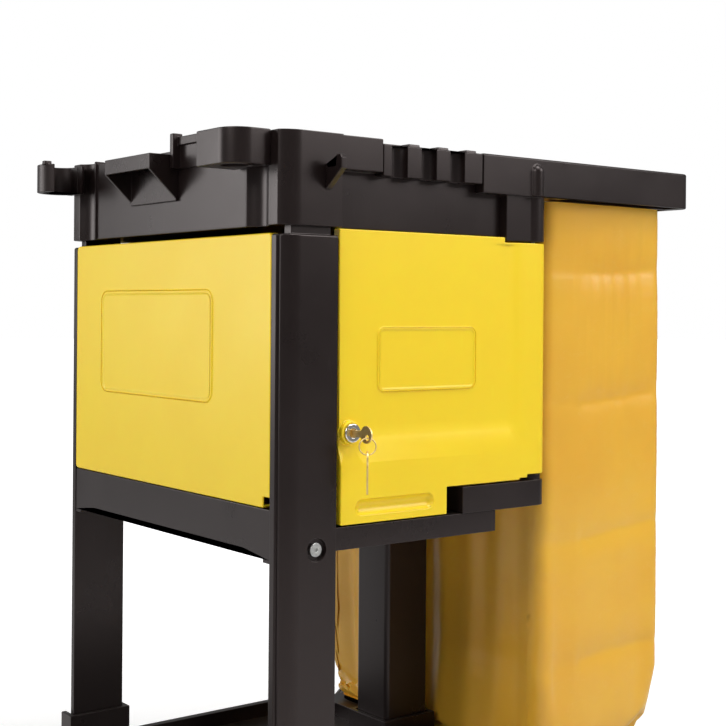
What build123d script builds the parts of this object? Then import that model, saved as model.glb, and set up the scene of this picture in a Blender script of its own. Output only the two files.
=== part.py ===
"""Janitor's cleaning cart with a lockable cabinet and a hanging vinyl bag.

Millimetres. +X runs along the cart towards the bag and the push handle, the
cabinet door faces -Y, and Z = 0 is the floor. The origin is mid-length on the floor.
"""
from build123d import *
import os

os.makedirs("parts", exist_ok=True)

# ---------------------------------------------------------------- overall sizes
cart_length = 1168.0
body_width = 508.0
end_x = -77.5                 # outer face of the cabinet's end panel and corner posts
deck_z = 175.0                # top of the base deck
shelf_z = 540.0               # top of the middle shelf, the cabinet's floor
tray_bottom_z = 864.5         # underside of the top tray, the cabinet's ceiling
wall = 4.0                    # moulding wall
skin = 3.0                    # panel and door skin

run_gap = 0.05                # radial clearance of a shaft that turns in a bore
seat_gap = 0.02               # radial clearance of a fixed shaft in its hole
bolt_gap = 0.2                # radial clearance of a bolt in a moulded hole
fit_gap = 0.4                 # clearance between moulded parts that slide together
panel_gap = 1.0               # visible gap round the panels and the door
overrun = 1.0                 # how far a cut or a joined block runs past a face

half_width = body_width / 2
front_x = -cart_length / 2
rear_x = cart_length / 2

# ---------------------------------------------------------------- base platform
base_drop = 63.0              # bottom of the base below its deck
base_rim_rise = 20.0
base_rear_gap = 24.0          # rear end of the base short of the push handle
wheel_room = 18.4             # the base narrows this far in front of the rear wheels
narrow_inset = 34.0
base_front_radius = 45.0
base_rear_radius = 30.0
base_deck = 7.0
base_skirt = 5.0
rim_width = 12.0
front_bay_radius = 36.0
middle_bay_radius = 12.0
rear_bay_radius = 24.0
bridge_reach = 18.0           # raised bridge in front of the cabinet's end
underside_radius = 26.0
rib_thickness = 6.0
rib_depth = 14.0
long_rib_y = 90.0
cross_rib_places = (-290.0, 0.0)
pad_length = 104.0
pad_width = 80.0
axle_block_length = 48.0
axle_block_width = 30.0
axle_block_drop = 22.0        # block below the middle of the axle
socket_height = 60.0
socket_wall = 7.0
socket_root = 2.0             # how far a socket's walls are sunk in the deck

# ---------------------------------------------------------------- uprights
post_width = 72.0
post_depth = 22.0
neck_gap = 9.0                # visible gap between a post's shoulder and the tray
post_chamfer = 1.5
strip_width = 9.0             # flat strip on the post's outer end
groove_width = 4.0
groove_depth = 3.0
crown_run = 24.0              # how far the crowned corner runs along the post's face
tenon_start = 14.0
tenon_inset = 6.0
tenon_back = 3.0
tenon_wall = 3.0
tenon_height = 36.0
column_along = 320.0          # cabinet side of the rear column from the cabinet's end
column_width = 71.0
column_depth = 65.0
column_corner = 6.0
column_rise = 35.5

# ---------------------------------------------------------------- middle shelf
shelf_length = 308.0
shelf_apron = 25.0
shelf_side_inset = 2.0
shelf_end_inset = 1.0
shelf_rib_y = 80.0
shelf_rib_depth = 10.0
boss_depth = 14.0             # corner boss behind a post, where its bolt goes through
boss_drop = 14.0
post_notch_drop = 20.0
end_rail_lift = 22.5
end_rail_drop = 32.0          # end rail below the shelf top, at the posts
end_rail_rise = 17.0          # height of the arch under the end rail
end_rail_width = 6.0
collar_wall = 8.0

# ---------------------------------------------------------------- top tray
tray_length = 325.0
tray_floor = 7.5
tray_depth = 97.5
tray_wall_inset = 16.0        # tray side wall behind the face of the posts
end_wall_inset = 3.0
block_length = 78.0           # corner block along the side of the tray
block_run = 74.0              # corner block along the end of the tray
block_depth = 34.0
block_leg = 14.0
block_crown = 11.0
block_rise = 3.5              # corner block above the tray's rim
band_rise = 2.5
band_depth = 34.5             # proud upper band below the tray's rim
band_end = 133.0
scoop_radius = 25.0
scoop_bite = 11.0
scoop_middle = 50.0           # scoop from the post's face
divider_x = 150.0
divider_y = 40.0
divider_drop = 30.0

# ---------------------------------------------------------------- tray holders
shelf_near = 224.0            # bracket shelf from the door side
shelf_far = 337.0
lip_reach = 36.0
lip_top_drop = 6.0
lip_depth = 18.0
gusset_depth = 54.0
fence_near = 169.0
fence_far = 223.0
fin_thickness = 8.0
fin_reach = 10.0
fence_drop = 23.0
fence_rise = 18.0
rail_reach = 4.0
rail_rise = 4.0
rail_height = 10.0
ring_near = 24.0
ring_far = 95.0
ring_reach = 50.0
ring_corner = 26.0
ring_drop = 34.0
ring_height = 38.5
ring_hole = 17.0
hole_out = 24.0               # middle of the ring's hole from the tray's end
hole_along = 54.0
clip_radius = 30.0
clip_thick = 8.0
clip_out = 28.0
clip_along = 30.0             # middle of the clip from the far side
clip_drop = 37.0
clip_height = 36.0
clip_mouth = 38.0
clip_foot = 34.0
clip_tip_rise = 4.0
hook_along = 58.0
hook_width = 8.0
hook_reach = 28.0
hook_foot_depth = 25.0
hook_valley_drop = 33.4
hook_tip_rise = 11.4
hook_lip = 3.4                # step of the hook's root above its valley
hook_round = 0.9
rack_length = 148.0
rack_pitch = 43.0
rack_first = 156.5
rack_drop = 38.0
rack_valley_drop = 3.0
notch_inset = 2.0             # middle of a notch behind the rack's face
rack_tooth = 16.0
notch_radius = 11.0

# ---------------------------------------------------------------- bag frame and bag
frame_start = 283.0
frame_depth = 46.5
frame_top_drop = 1.5
frame_arm = 38.0
frame_wall = 4.5
frame_corner = 18.0
frame_inner_corner = 14.0
frame_round = 2.5
channel_stop = 10.0
crossbar = 398.0
crossbar_width = 16.0
lug_drop = 5.0                # hinge lug below the underside of the tray
lug_block_near = 5.0
lug_block_far = 29.0
dome_along = 371.0
dome_radius = 9.0
dome_drop = 16.5
hook_margin = 23.0            # first and last bag hook from the ends of the opening
stud_length = 10.0
stud_depth = 4.0
stud_drop = 18.0
stud_root = 16.0
stud_nose = 9.0
bag_lap_front = 5.0           # bag's top edge under the frame, past the opening
bag_lap_rear = 0.5
bag_lap_side = 20.0
bag_bottom_room = 8.0         # between the bag's bottom and the base's narrow sides
bag_bottom_inset = 8.0
bag_lift = 23.0               # bottom of the bag above the deck
bag_flare = 120.0             # height over which the bag widens from its bottom
bag_wall = 3.0
bag_corner = 22.0
bag_bottom_corner = 30.0
bag_top_gap = 0.6

# ---------------------------------------------------------------- cabinet panels and door
panel_depth = 14.0
panel_drop = 8.0
panel_side_gap = 0.5
panel_corner = 6.0
panel_round = 2.0
panel_notch = 13.0            # cut-out at the lower corner beside the post
far_panel_depth = 12.0
far_panel_corner = 5.0
bag_panel_back = 8.0
bag_panel_rib = 4.0
bag_panel_rib_pitch = 120.0
bag_panel_margin = 30.0
door_play = 6.0               # between the corner post and the door
door_tab_right = 230.0
door_lug_gap = 2.0
door_lift = 33.0              # door's lower edge above the shelf
door_tab_lift = 2.0
door_notch_lift = 5.5
door_step = 346.0
door_top_step = 325.0
door_depth = 17.0
field_margin = 7.0
field_bottom_margin = 32.0
field_top_margin = 8.5
field_depth = 1.2
field_corner = 10.0
pull_lift = 18.0
pull_height = 17.0
pull_margin = 11.0
pull_depth = 1.4
hinge_offset = 377.0
hinge_radius = 15.0
bracket_start = 254.0
bracket_width = 30.0
bracket_gap = 2.0             # between the door and the bracket's arm
knuckle_gap = 1.0
knuckle_radius = 12.5
foot_reach = 14.0
foot_height = 5.0
pin_radius = 4.0
pin_engage = 25.0

# ---------------------------------------------------------------- lock and keys
lock_side_gap = 0.25          # lock nut to the door's edge wall
lock_lift = 68.6
lock_radius = 9.5
lock_boss_wall = 4.0
lock_boss_depth = 8.0
lock_flange_rim = 1.0
lock_flange_out = 3.0
lock_length = 24.5
lock_nut_rim = 1.25
lock_nut_height = 4.0
plug_radius = 5.5
plug_sink = 0.4               # plug's face behind the flange's face
plug_tail = 3.5
key_width = 7.4
key_thickness = 2.0
key_slot_gap = 0.15
key_depth = 14.0
bow_radius = 9.5
bow_centre = 26.0             # middle of the key's bow in front of the door face
bow_hole_radius = 3.2
bow_hole_out = 2.0
bow_hole_down = 3.0
ring_pivot_down = 3.4
ring_radius = 9.0
ring_wire = 0.8
cam_length = 34.0
cam_width = 13.0
cam_thickness = 2.0
cam_gap = 0.3
screw_head = 4.5
screw_shank = 1.55
spare_length = 34.0
spare_bow_drop = 5.1
spare_blade_drop = 25.0
spare_hole_radius = 2.6
spare_hole_down = 0.6
strike_length = 50.0
strike_width = 30.0
strike_thickness = 1.5
strike_inset = 1.0
strike_screw_x = 22.0
strike_screw_z = 19.0
strike_screw_head = 3.5
strike_screw_shank = 1.75

# ---------------------------------------------------------------- fasteners
bolt_radius = 4.0
bolt_length = 40.0
bolt_head_radius = 7.5
bolt_head_height = 4.0
nut_flats = 13.0
nut_height = 6.0
recess_radius = 12.5
recess_depth = 5.0
shelf_bolt_drop = 21.0
post_bolt_offset = 46.0
base_bolt_rise = 30.0
column_bolt_rise = 8.0
frame_screw_drop = 22.5
frame_screw_first = 12.0
frame_screw_pitch = 18.0
frame_screw_radius = 2.5
frame_screw_head = 5.0
frame_screw_head_height = 2.5
frame_screw_length = 14.0

# ---------------------------------------------------------------- wheels
axle_setback = 110.0          # axle from the rear end of the base
axle_radius = 6.35
wheel_radius = 101.6
wheel_width = 38.0
tyre_depth = 15.0
tyre_round = 6.0
hub_inset = 2.0
hub_rim = 9.0
hub_boss_radius = 17.0
web_thickness = 10.0
spoke_count = 8
spoke_width = 6.0
spoke_inset = 4.0
washer_radius = 13.0
washer_gap = 0.2
cap_radius = 12.0
cap_thickness = 2.0
caster_setback = 84.0
caster_inset = 69.0
caster_room = 28.4            # top of a caster wheel to the underside of the base pads
caster_radius = 50.8
caster_width = 26.0
caster_trail = 30.0
caster_axle_radius = 4.0
caster_core_depth = 9.0
caster_tyre_round = 5.0
caster_core_rim = 5.0
caster_web = 8.0
caster_boss_radius = 11.0
caster_plate = 4.0
plate_length = 92.0
plate_width = 68.0
plate_corner = 8.0
plate_bolt_x = 72.0
plate_bolt_y = 46.0
plate_bolt_radius = 4.0
plate_bolt_hole = 4.3
plate_bolt_head = 6.5
plate_bolt_head_height = 5.0
plate_bolt_sink = 6.0         # counterbore in the deck over each caster bolt
plate_bolt_room = 9.0
kingpin_radius = 6.0
kingpin_head_radius = 10.0
kingpin_head_height = 6.0
race_radius = 26.0
race_height = 8.0
race_round = 3.0
crown_radius = 27.0
crown_thickness = 5.0
fork_gap = 1.5
fork_thickness = 3.5
fork_top_half = 19.0
fork_foot_half = 12.0
fork_toe_half = 8.0
fork_toe_drop = 10.0
caster_head_radius = 7.0

# ---------------------------------------------------------------- places worked out
base_rear_x = rear_x - base_rear_gap
axle_x = base_rear_x - axle_setback
axle_z = wheel_radius
base_narrow_x = axle_x - wheel_radius - wheel_room
base_narrow_half = half_width - narrow_inset
base_bottom_z = deck_z - base_drop
base_rim_z = deck_z + base_rim_rise
under_z = deck_z - base_deck
caster_x = front_x + caster_setback
caster_y = half_width - caster_inset
caster_height = 2 * caster_radius + caster_room
column_x = end_x + column_along
column_top_z = tray_bottom_z + column_rise
post_top_z = tray_bottom_z - neck_gap
shelf_bolt_z = shelf_z - shelf_bolt_drop
end_rail_top_z = shelf_z + end_rail_lift
tray_floor_z = tray_bottom_z + tray_floor
tray_rim_z = tray_bottom_z + tray_depth
frame_top_z = tray_rim_z - frame_top_drop
frame_bottom_z = frame_top_z - frame_depth
frame_screw_z = frame_top_z - frame_screw_drop
lug_bottom_z = tray_bottom_z - lug_drop
door_top_z = tray_bottom_z - panel_gap
door_lug_z = lug_bottom_z - door_lug_gap
door_bottom_z = shelf_z + door_lift
door_tab_z = shelf_z + door_tab_lift
door_notch_z = door_bottom_z + door_notch_lift
lock_z = door_bottom_z + lock_lift
base_bolt_z = deck_z + base_bolt_rise
column_bolt_z = shelf_bolt_z + column_bolt_rise
column_mid_x = column_x + column_width / 2
post_x1 = end_x + post_width
post_bolt_x = end_x + post_bolt_offset
notch_y = half_width - post_depth - fit_gap
shelf_x1 = end_x + shelf_length
tray_x0 = end_x + end_wall_inset
tray_x1 = end_x + tray_length
tray_side = half_width - tray_wall_inset
door_x = post_x1 + door_play
door_face_y = -half_width
hinge_x = end_x + hinge_offset
hinge_y = -half_width + hinge_radius
lock_x = door_x + skin + lock_radius + lock_nut_rim + lock_side_gap


def save(builder, name):
    """Label a finished sub-part and write it to its own STEP file."""
    builder.part.label = name
    export_step(builder.part, f"parts/{name}.step")


def slab(x0, x1, y0, y1, z0, z1, mode=Mode.ADD):
    """Add (or cut) a box between two corners in the open part."""
    with Locations(((x0 + x1) / 2, (y0 + y1) / 2, (z0 + z1) / 2)):
        Box(x1 - x0, abs(y1 - y0), z1 - z0, mode=mode)


def rod_y(x, y0, y1, z, radius, mode=Mode.ADD):
    """Add (or cut) a cylinder along Y."""
    with Locations(Location((x, (y0 + y1) / 2, z), (90, 0, 0))):
        Cylinder(radius, abs(y1 - y0), mode=mode)


def rod_z(x, y, z0, z1, radius, mode=Mode.ADD):
    """Add (or cut) a cylinder along Z."""
    with Locations((x, y, (z0 + z1) / 2)):
        Cylinder(radius, z1 - z0, mode=mode)


def rounded_area(x0, x1, half, radius, mode=Mode.ADD):
    """Add (or cut) a rounded rectangle, even about the X axis, in the open sketch."""
    with Locations(((x0 + x1) / 2, 0)):
        RectangleRounded(x1 - x0, 2 * half, radius, mode=mode)


def hexagon_y(x, y0, y1, z, across_flats):
    """Add a hexagonal nut body along Y, from y0 up to y1."""
    with BuildSketch(Plane.XZ.offset(-y0)) as section:
        with Locations((x, z)):
            RegularPolygon(across_flats / 2, 6, major_radius=False, rotation=30)
    extrude(section.sketch, amount=-(y1 - y0))


# The two sides of the cart are alike: the door side is at -Y and the far side at +Y.
sides = {"door_side": -1, "far_side": 1}


# ================================================================ base platform
with BuildPart() as base_platform:
    with BuildSketch(Plane.XY.offset(base_bottom_z)):
        with BuildLine():
            Polyline(
                (front_x, -half_width),
                (base_narrow_x, -half_width),
                (base_narrow_x, -base_narrow_half),
                (base_rear_x, -base_narrow_half),
                (base_rear_x, base_narrow_half),
                (base_narrow_x, base_narrow_half),
                (base_narrow_x, half_width),
                (front_x, half_width),
                close=True,
            )
        make_face()
        fillet(vertices().group_by(Axis.X)[0], base_front_radius)
        fillet(vertices().group_by(Axis.X)[-1], base_rear_radius)
    extrude(amount=base_rim_z - base_bottom_z)
    # pan on top: front bucket bay, bay under the cabinet and bay under the bag
    with BuildSketch(Plane.XY.offset(base_rim_z)):
        rounded_area(front_x + rim_width, end_x - bridge_reach, half_width - rim_width,
                     front_bay_radius)
        rounded_area(end_x + block_leg, base_narrow_x - rim_width, half_width - rim_width,
                     middle_bay_radius)
        rounded_area(base_narrow_x + rim_width, base_rear_x - rim_width, base_narrow_half - rim_width,
                     rear_bay_radius)
    extrude(amount=-(base_rim_z - deck_z), mode=Mode.SUBTRACT)
    # hollow underside, open downwards
    with BuildSketch(Plane.XY.offset(base_bottom_z)):
        rounded_area(front_x + base_skirt, base_narrow_x - base_skirt, half_width - base_skirt,
                     base_front_radius - base_skirt)
        rounded_area(base_narrow_x - 2 * base_skirt, base_rear_x - base_skirt,
                     base_narrow_half - base_skirt, underside_radius)
    extrude(amount=under_z - base_bottom_z, mode=Mode.SUBTRACT)
    # shallow ribs under the deck
    for rib_y in (-long_rib_y, long_rib_y):
        slab(front_x + overrun, base_rear_x - overrun, rib_y - rib_thickness / 2,
             rib_y + rib_thickness / 2, under_z - rib_depth, under_z + overrun)
    for rib_x in (*cross_rib_places, base_narrow_x):
        slab(rib_x - rib_thickness / 2, rib_x + rib_thickness / 2, -base_narrow_half + overrun,
             base_narrow_half - overrun, under_z - rib_depth, under_z + overrun)
    # caster pads
    for side in sides.values():
        pad_y = side * caster_y
        slab(caster_x - pad_length / 2, caster_x + pad_length / 2, pad_y - pad_width / 2,
             pad_y + pad_width / 2, caster_height, under_z + overrun)
        with Locations((caster_x, pad_y, deck_z)):
            with GridLocations(plate_bolt_x, plate_bolt_y, 2, 2):
                Cylinder(plate_bolt_hole, 2 * deck_z, mode=Mode.SUBTRACT)
                Cylinder(plate_bolt_room, 2 * plate_bolt_sink, mode=Mode.SUBTRACT)
    # rear axle bearing blocks
    for side in sides.values():
        slab(axle_x - axle_block_length / 2, axle_x + axle_block_length / 2,
             side * base_narrow_half, side * (base_narrow_half - axle_block_width),
             axle_z - axle_block_drop, under_z + overrun)
    # post sockets: each post stands in a notch with a collar on three sides
    for side in sides.values():
        slab(end_x - socket_wall - fit_gap, post_x1 + fit_gap + socket_wall, side * half_width,
             side * (notch_y - socket_wall), deck_z - socket_root, deck_z + socket_height)
        slab(end_x - fit_gap, post_x1 + fit_gap, side * (half_width + overrun), side * notch_y,
             deck_z, deck_z + socket_height + overrun, mode=Mode.SUBTRACT)
    # column socket
    socket_half = column_depth / 2 + fit_gap + socket_wall
    slab(column_x - fit_gap - socket_wall, column_x + column_width + fit_gap + socket_wall,
         -socket_half, socket_half, deck_z - socket_root, deck_z + socket_height)
    slab(column_x - fit_gap, column_x + column_width + fit_gap, -column_depth / 2 - fit_gap,
         column_depth / 2 + fit_gap, deck_z, deck_z + socket_height + overrun,
         mode=Mode.SUBTRACT)
    # bores for the axle and the upright bolts
    rod_y(axle_x, -half_width, half_width, axle_z, axle_radius + run_gap, mode=Mode.SUBTRACT)
    for side in sides.values():
        rod_y(post_bolt_x, side * (notch_y - 2 * socket_wall), side * half_width, base_bolt_z,
              bolt_radius + bolt_gap, mode=Mode.SUBTRACT)
    rod_y(column_mid_x, -column_depth, column_depth, base_bolt_z, bolt_radius + bolt_gap,
          mode=Mode.SUBTRACT)
save(base_platform, "base_platform")

# ================================================================ corner posts
post_in_y = -half_width + post_depth
strip_y = post_in_y - strip_width
groove_y = strip_y - groove_width
crown_x = end_x + crown_run
groove_x = end_x + groove_depth
tenon_x0 = end_x + tenon_start
tenon_x1 = post_x1 - tenon_inset
tenon_y0 = -half_width + tenon_inset
tenon_y1 = post_in_y - tenon_back
with BuildPart() as door_side_post:
    with BuildSketch(Plane.XY.offset(deck_z + fit_gap)):
        with BuildLine():
            Polyline((crown_x, -half_width), (post_x1, -half_width), (post_x1, post_in_y),
                     (end_x, post_in_y), (end_x, strip_y), (groove_x, strip_y),
                     (groove_x, groove_y))
            TangentArc((crown_x, -half_width), (groove_x, groove_y), tangent=(-1, 0))
        make_face()
    extrude(amount=post_top_z - deck_z - fit_gap)
    chamfer(edges().group_by(Axis.Z)[-1], post_chamfer)
    # tenon that plugs into the tray's corner block
    slab(tenon_x0, tenon_x1, tenon_y0, tenon_y1, post_top_z - wall, post_top_z + tenon_height)
    # hollow, open at both ends
    slab(tenon_x0 + wall, tenon_x1 - wall, tenon_y0 + tenon_wall, tenon_y1 - tenon_wall, deck_z,
         post_top_z + tenon_height + overrun, mode=Mode.SUBTRACT)
    # recesses and holes for the shelf bolt and the base bolt
    for bolt_z in (shelf_bolt_z, base_bolt_z):
        rod_y(post_bolt_x, -half_width - overrun, -half_width + recess_depth, bolt_z,
              recess_radius, mode=Mode.SUBTRACT)
        rod_y(post_bolt_x, -half_width, post_in_y + overrun, bolt_z, bolt_radius + bolt_gap,
              mode=Mode.SUBTRACT)
save(door_side_post, "front_post_door_side")

with BuildPart() as far_side_post:
    add(mirror(door_side_post.part, about=Plane.XZ))
save(far_side_post, "front_post_far_side")

# ================================================================ rear column
with BuildPart() as rear_column:
    with BuildSketch(Plane.XY.offset(deck_z + fit_gap)):
        rounded_area(column_x, column_x + column_width, column_depth / 2, column_corner)
    extrude(amount=column_top_z - deck_z - fit_gap)
    slab(column_x + wall, column_x + column_width - wall, -column_depth / 2 + wall,
         column_depth / 2 - wall, deck_z, column_top_z + overrun, mode=Mode.SUBTRACT)
    for bolt_z in (base_bolt_z, column_bolt_z):
        rod_y(column_mid_x, -column_depth, column_depth, bolt_z, bolt_radius + bolt_gap,
              mode=Mode.SUBTRACT)
save(rear_column, "rear_column")

# ================================================================ middle shelf
shelf_x0 = end_x + shelf_end_inset
shelf_side = half_width - shelf_side_inset
post_notch_x = post_x1 + fit_gap
arch_half = half_width - post_depth
arch_z = shelf_z - end_rail_drop
with BuildPart() as middle_shelf:
    slab(shelf_x0, shelf_x1, -shelf_side, shelf_side, shelf_z - shelf_apron, shelf_z)
    slab(shelf_x0 + wall, shelf_x1 - wall, -shelf_side + wall, shelf_side - wall,
         shelf_z - shelf_apron - overrun, shelf_z - wall, mode=Mode.SUBTRACT)
    # corner bosses behind the posts, and the notches that the posts stand in
    for side in sides.values():
        slab(shelf_x0, post_notch_x + wall, side * (notch_y - boss_depth), side * notch_y,
             shelf_bolt_z - boss_drop, shelf_z - overrun)
        slab(end_x - overrun, post_notch_x, side * notch_y, side * (half_width + overrun),
             shelf_bolt_z - post_notch_drop, shelf_z + overrun, mode=Mode.SUBTRACT)
        slab(post_notch_x, post_notch_x + wall, side * (notch_y - boss_depth),
             side * shelf_side, shelf_z - shelf_apron, shelf_z)
    # arched end rail between the posts
    with BuildSketch(Plane.YZ.offset(shelf_x0)):
        with BuildLine():
            Polyline((-arch_half, arch_z), (-arch_half, end_rail_top_z),
                     (arch_half, end_rail_top_z), (arch_half, arch_z))
            ThreePointArc((arch_half, arch_z), (0, arch_z + end_rail_rise), (-arch_half, arch_z))
        make_face()
    extrude(amount=end_rail_width)
    # stiffening ribs under the deck
    for rib_y in (-shelf_rib_y, shelf_rib_y):
        slab(shelf_x0 + overrun, shelf_x1 - overrun, rib_y - wall / 2, rib_y + wall / 2,
             shelf_z - wall - shelf_rib_depth, shelf_z - overrun)
    # collar round the rear column
    collar_half = column_depth / 2 + fit_gap + collar_wall
    slab(shelf_x1 - wall, column_x + column_width + fit_gap + collar_wall, -collar_half,
         collar_half, shelf_z - shelf_apron, shelf_z)
    slab(column_x - fit_gap, column_x + column_width + fit_gap, -column_depth / 2 - fit_gap,
         column_depth / 2 + fit_gap, shelf_z - shelf_apron - overrun, shelf_z + overrun,
         mode=Mode.SUBTRACT)
    for side in sides.values():
        rod_y(post_bolt_x, side * (notch_y - boss_depth - overrun), side * half_width,
              shelf_bolt_z, bolt_radius + bolt_gap, mode=Mode.SUBTRACT)
    rod_y(column_mid_x, -column_depth, column_depth, column_bolt_z, bolt_radius + bolt_gap,
          mode=Mode.SUBTRACT)
save(middle_shelf, "middle_shelf")

# ================================================================ top tray
block_x1 = end_x + block_length
leg_x = end_x + block_leg
frame_screw_x = [end_x + frame_start + frame_screw_first,
                 end_x + frame_start + frame_screw_first + frame_screw_pitch]
with BuildPart() as top_tray:
    slab(tray_x0, tray_x1, -tray_side, tray_side, tray_bottom_z, tray_rim_z)
    slab(tray_x0 + wall, tray_x1 - wall, -tray_side + wall, tray_side - wall, tray_floor_z,
         tray_rim_z + overrun, mode=Mode.SUBTRACT)
    for side in sides.values():
        face_y = side * half_width
        run_y = side * (half_width - block_run)
        deep_y = side * (half_width - block_depth)
        crown_y = side * (half_width - block_crown)
        # corner block over the post
        with BuildSketch(Plane.XY.offset(tray_bottom_z)):
            with BuildLine():
                Polyline((crown_x, face_y), (block_x1, face_y), (block_x1, deep_y),
                         (leg_x, deep_y), (leg_x, run_y), (end_x, run_y), (end_x, crown_y))
                TangentArc((crown_x, face_y), (end_x, crown_y), tangent=(-1, 0))
            make_face()
        extrude(amount=tray_rim_z + block_rise - tray_bottom_z)
        # proud upper band along the side
        slab(block_x1 - overrun, end_x + band_end, side * (tray_side - overrun), face_y,
             tray_rim_z - band_depth, tray_rim_z + band_rise)
        # vertical scoop between the corner block and the end wall
        rod_z(end_x - scoop_radius + scoop_bite, side * (half_width - scoop_middle),
              tray_bottom_z - overrun, tray_rim_z + 2 * block_rise, scoop_radius,
              mode=Mode.SUBTRACT)
        # socket for the post's tenon
        slab(tenon_x0 - fit_gap, tenon_x1 + fit_gap, side * -(tenon_y1 + fit_gap),
             side * -(tenon_y0 - fit_gap), tray_bottom_z - overrun,
             post_top_z + tenon_height + fit_gap, mode=Mode.SUBTRACT)
    # collar for the top of the rear column
    slab(tray_x1 - wall, column_x + column_width + fit_gap + collar_wall, -collar_half,
         collar_half, tray_bottom_z, column_top_z + collar_wall)
    slab(column_x - fit_gap, column_x + column_width + fit_gap, -column_depth / 2 - fit_gap,
         column_depth / 2 + fit_gap, tray_bottom_z - overrun, column_top_z + fit_gap,
         mode=Mode.SUBTRACT)
    # dividers: one across, and a short one beside it
    slab(end_x + divider_x, end_x + divider_x + wall, -tray_side + overrun,
         tray_side - overrun, tray_floor_z - overrun, tray_rim_z - divider_drop)
    slab(end_x + divider_x + overrun, tray_x1 - overrun, divider_y - wall / 2,
         divider_y + wall / 2, tray_floor_z - overrun, tray_rim_z - divider_drop)
    # holes for the screws that hold the bag frame
    for side in sides.values():
        for screw_x in frame_screw_x:
            rod_y(screw_x, side * (tray_side - wall - overrun), side * (tray_side + overrun),
                  frame_screw_z, frame_screw_radius + seat_gap, mode=Mode.SUBTRACT)
save(top_tray, "top_tray")

# ================================================================ tray holders
lip_x = end_x - lip_reach
lip_top_z = tray_rim_z - lip_top_drop
lip_bottom_z = lip_top_z - lip_depth
gusset_foot_z = lip_top_z - gusset_depth
shelf_y0 = -half_width + shelf_near
shelf_y1 = -half_width + shelf_far
with BuildPart() as bracket_shelf:
    slab(lip_x, tray_x0, shelf_y0, shelf_y1, lip_top_z - wall, lip_top_z)
    slab(lip_x, lip_x + wall, shelf_y0, shelf_y1, lip_bottom_z, lip_top_z)
    slab(tray_x0 - wall, tray_x0, shelf_y0, shelf_y1, gusset_foot_z, lip_top_z)
    for gusset_y in (shelf_y0, shelf_y1 - wall):
        with BuildSketch(Plane.XZ.offset(-gusset_y)):
            with BuildLine():
                Polyline((lip_x, lip_bottom_z), (lip_x, lip_top_z - overrun),
                         (tray_x0, lip_top_z - overrun), (tray_x0, gusset_foot_z), close=True)
            make_face()
        extrude(amount=-wall)
save(bracket_shelf, "bracket_shelf")

fence_y0 = -half_width + fence_near
fence_y1 = -half_width + fence_far
fence_bottom_z = tray_rim_z - fence_drop
rail_bottom_z = tray_rim_z + rail_rise
with BuildPart() as handle_fence:
    slab(end_x - fin_reach, tray_x0, fence_y1 - fin_thickness, fence_y1, fence_bottom_z,
         tray_rim_z + fence_rise)
    slab(end_x - rail_reach, tray_x0, fence_y0, fence_y1 - overrun, rail_bottom_z,
         rail_bottom_z + rail_height)
    slab(end_x, tray_x0, fence_y0, fence_y1 - overrun, fence_bottom_z, rail_bottom_z + overrun)
save(handle_fence, "handle_fence")

ring_x = end_x - ring_reach
ring_y0 = -half_width + ring_near
ring_y1 = -half_width + ring_far
with BuildPart() as bottle_ring:
    with BuildSketch(Plane.XY.offset(tray_rim_z - ring_drop)):
        with BuildLine():
            Polyline((ring_x, ring_y0 + ring_corner), (ring_x, ring_y1), (end_x, ring_y1),
                     (end_x, ring_y0), (ring_x + ring_corner, ring_y0))
            RadiusArc((ring_x + ring_corner, ring_y0), (ring_x, ring_y0 + ring_corner),
                      ring_corner)
        make_face()
        with Locations((end_x - hole_out, -half_width + hole_along)):
            Circle(ring_hole, mode=Mode.SUBTRACT)
    extrude(amount=ring_height)
save(bottle_ring, "bottle_ring")

clip_x = end_x - clip_out
clip_y = half_width - clip_along
clip_mouth_y = clip_y - clip_radius
clip_bottom_z = tray_rim_z - clip_drop
with BuildPart() as mop_clip:
    with BuildSketch(Plane.XY.offset(clip_bottom_z)):
        with Locations((clip_x, clip_y)):
            Circle(clip_radius)
            Circle(clip_radius - clip_thick, mode=Mode.SUBTRACT)
        with Locations((clip_x, clip_mouth_y)):
            Rectangle(clip_mouth, 2 * clip_mouth, mode=Mode.SUBTRACT)
        with Locations((end_x + clip_radius, clip_y)):
            Rectangle(2 * clip_radius, 3 * clip_radius, mode=Mode.SUBTRACT)
        with Locations((end_x - clip_thick / 2, clip_y + clip_thick)):
            Rectangle(clip_thick, clip_foot)
    extrude(amount=clip_height)
    # raised tip of the outer jaw
    slab(clip_x - clip_radius, clip_x - clip_mouth / 2 - overrun, clip_y - clip_radius / 2 - overrun,
         clip_y - clip_thick, clip_bottom_z + clip_height - overrun,
         clip_bottom_z + clip_height + clip_tip_rise)
save(mop_clip, "mop_clip")

hook_x = end_x + hook_along
hook_root_y = -half_width
hook_tip_y = -half_width - hook_reach
hook_valley_z = tray_rim_z - hook_valley_drop
hook_tip_z = hook_valley_z + hook_tip_rise
with BuildPart() as hook_door_side:
    with BuildSketch(Plane.YZ.offset(hook_x - hook_width / 2)):
        with BuildLine():
            Polyline(
                (hook_root_y, hook_valley_z - hook_foot_depth),
                (hook_root_y, hook_valley_z + hook_lip),
                (hook_root_y - hook_lip, hook_valley_z + hook_lip),
                (hook_root_y - 1.5 * hook_lip, hook_valley_z),
                (hook_tip_y + 3.2 * hook_lip, hook_valley_z),
                (hook_tip_y + 2.6 * hook_lip, hook_tip_z),
                (hook_tip_y + 0.6 * hook_lip, hook_tip_z),
                (hook_tip_y, hook_tip_z - 1.2 * hook_lip),
                (hook_tip_y, hook_valley_z - hook_lip), close=True,
            )
        make_face()
    extrude(amount=hook_width)
    fillet(edges().filter_by(Axis.X), hook_round)
save(hook_door_side, "utility_hook_door_side")

with BuildPart() as hook_far_side:
    add(mirror(hook_door_side.part, about=Plane.XZ))
save(hook_far_side, "utility_hook_far_side")

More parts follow.
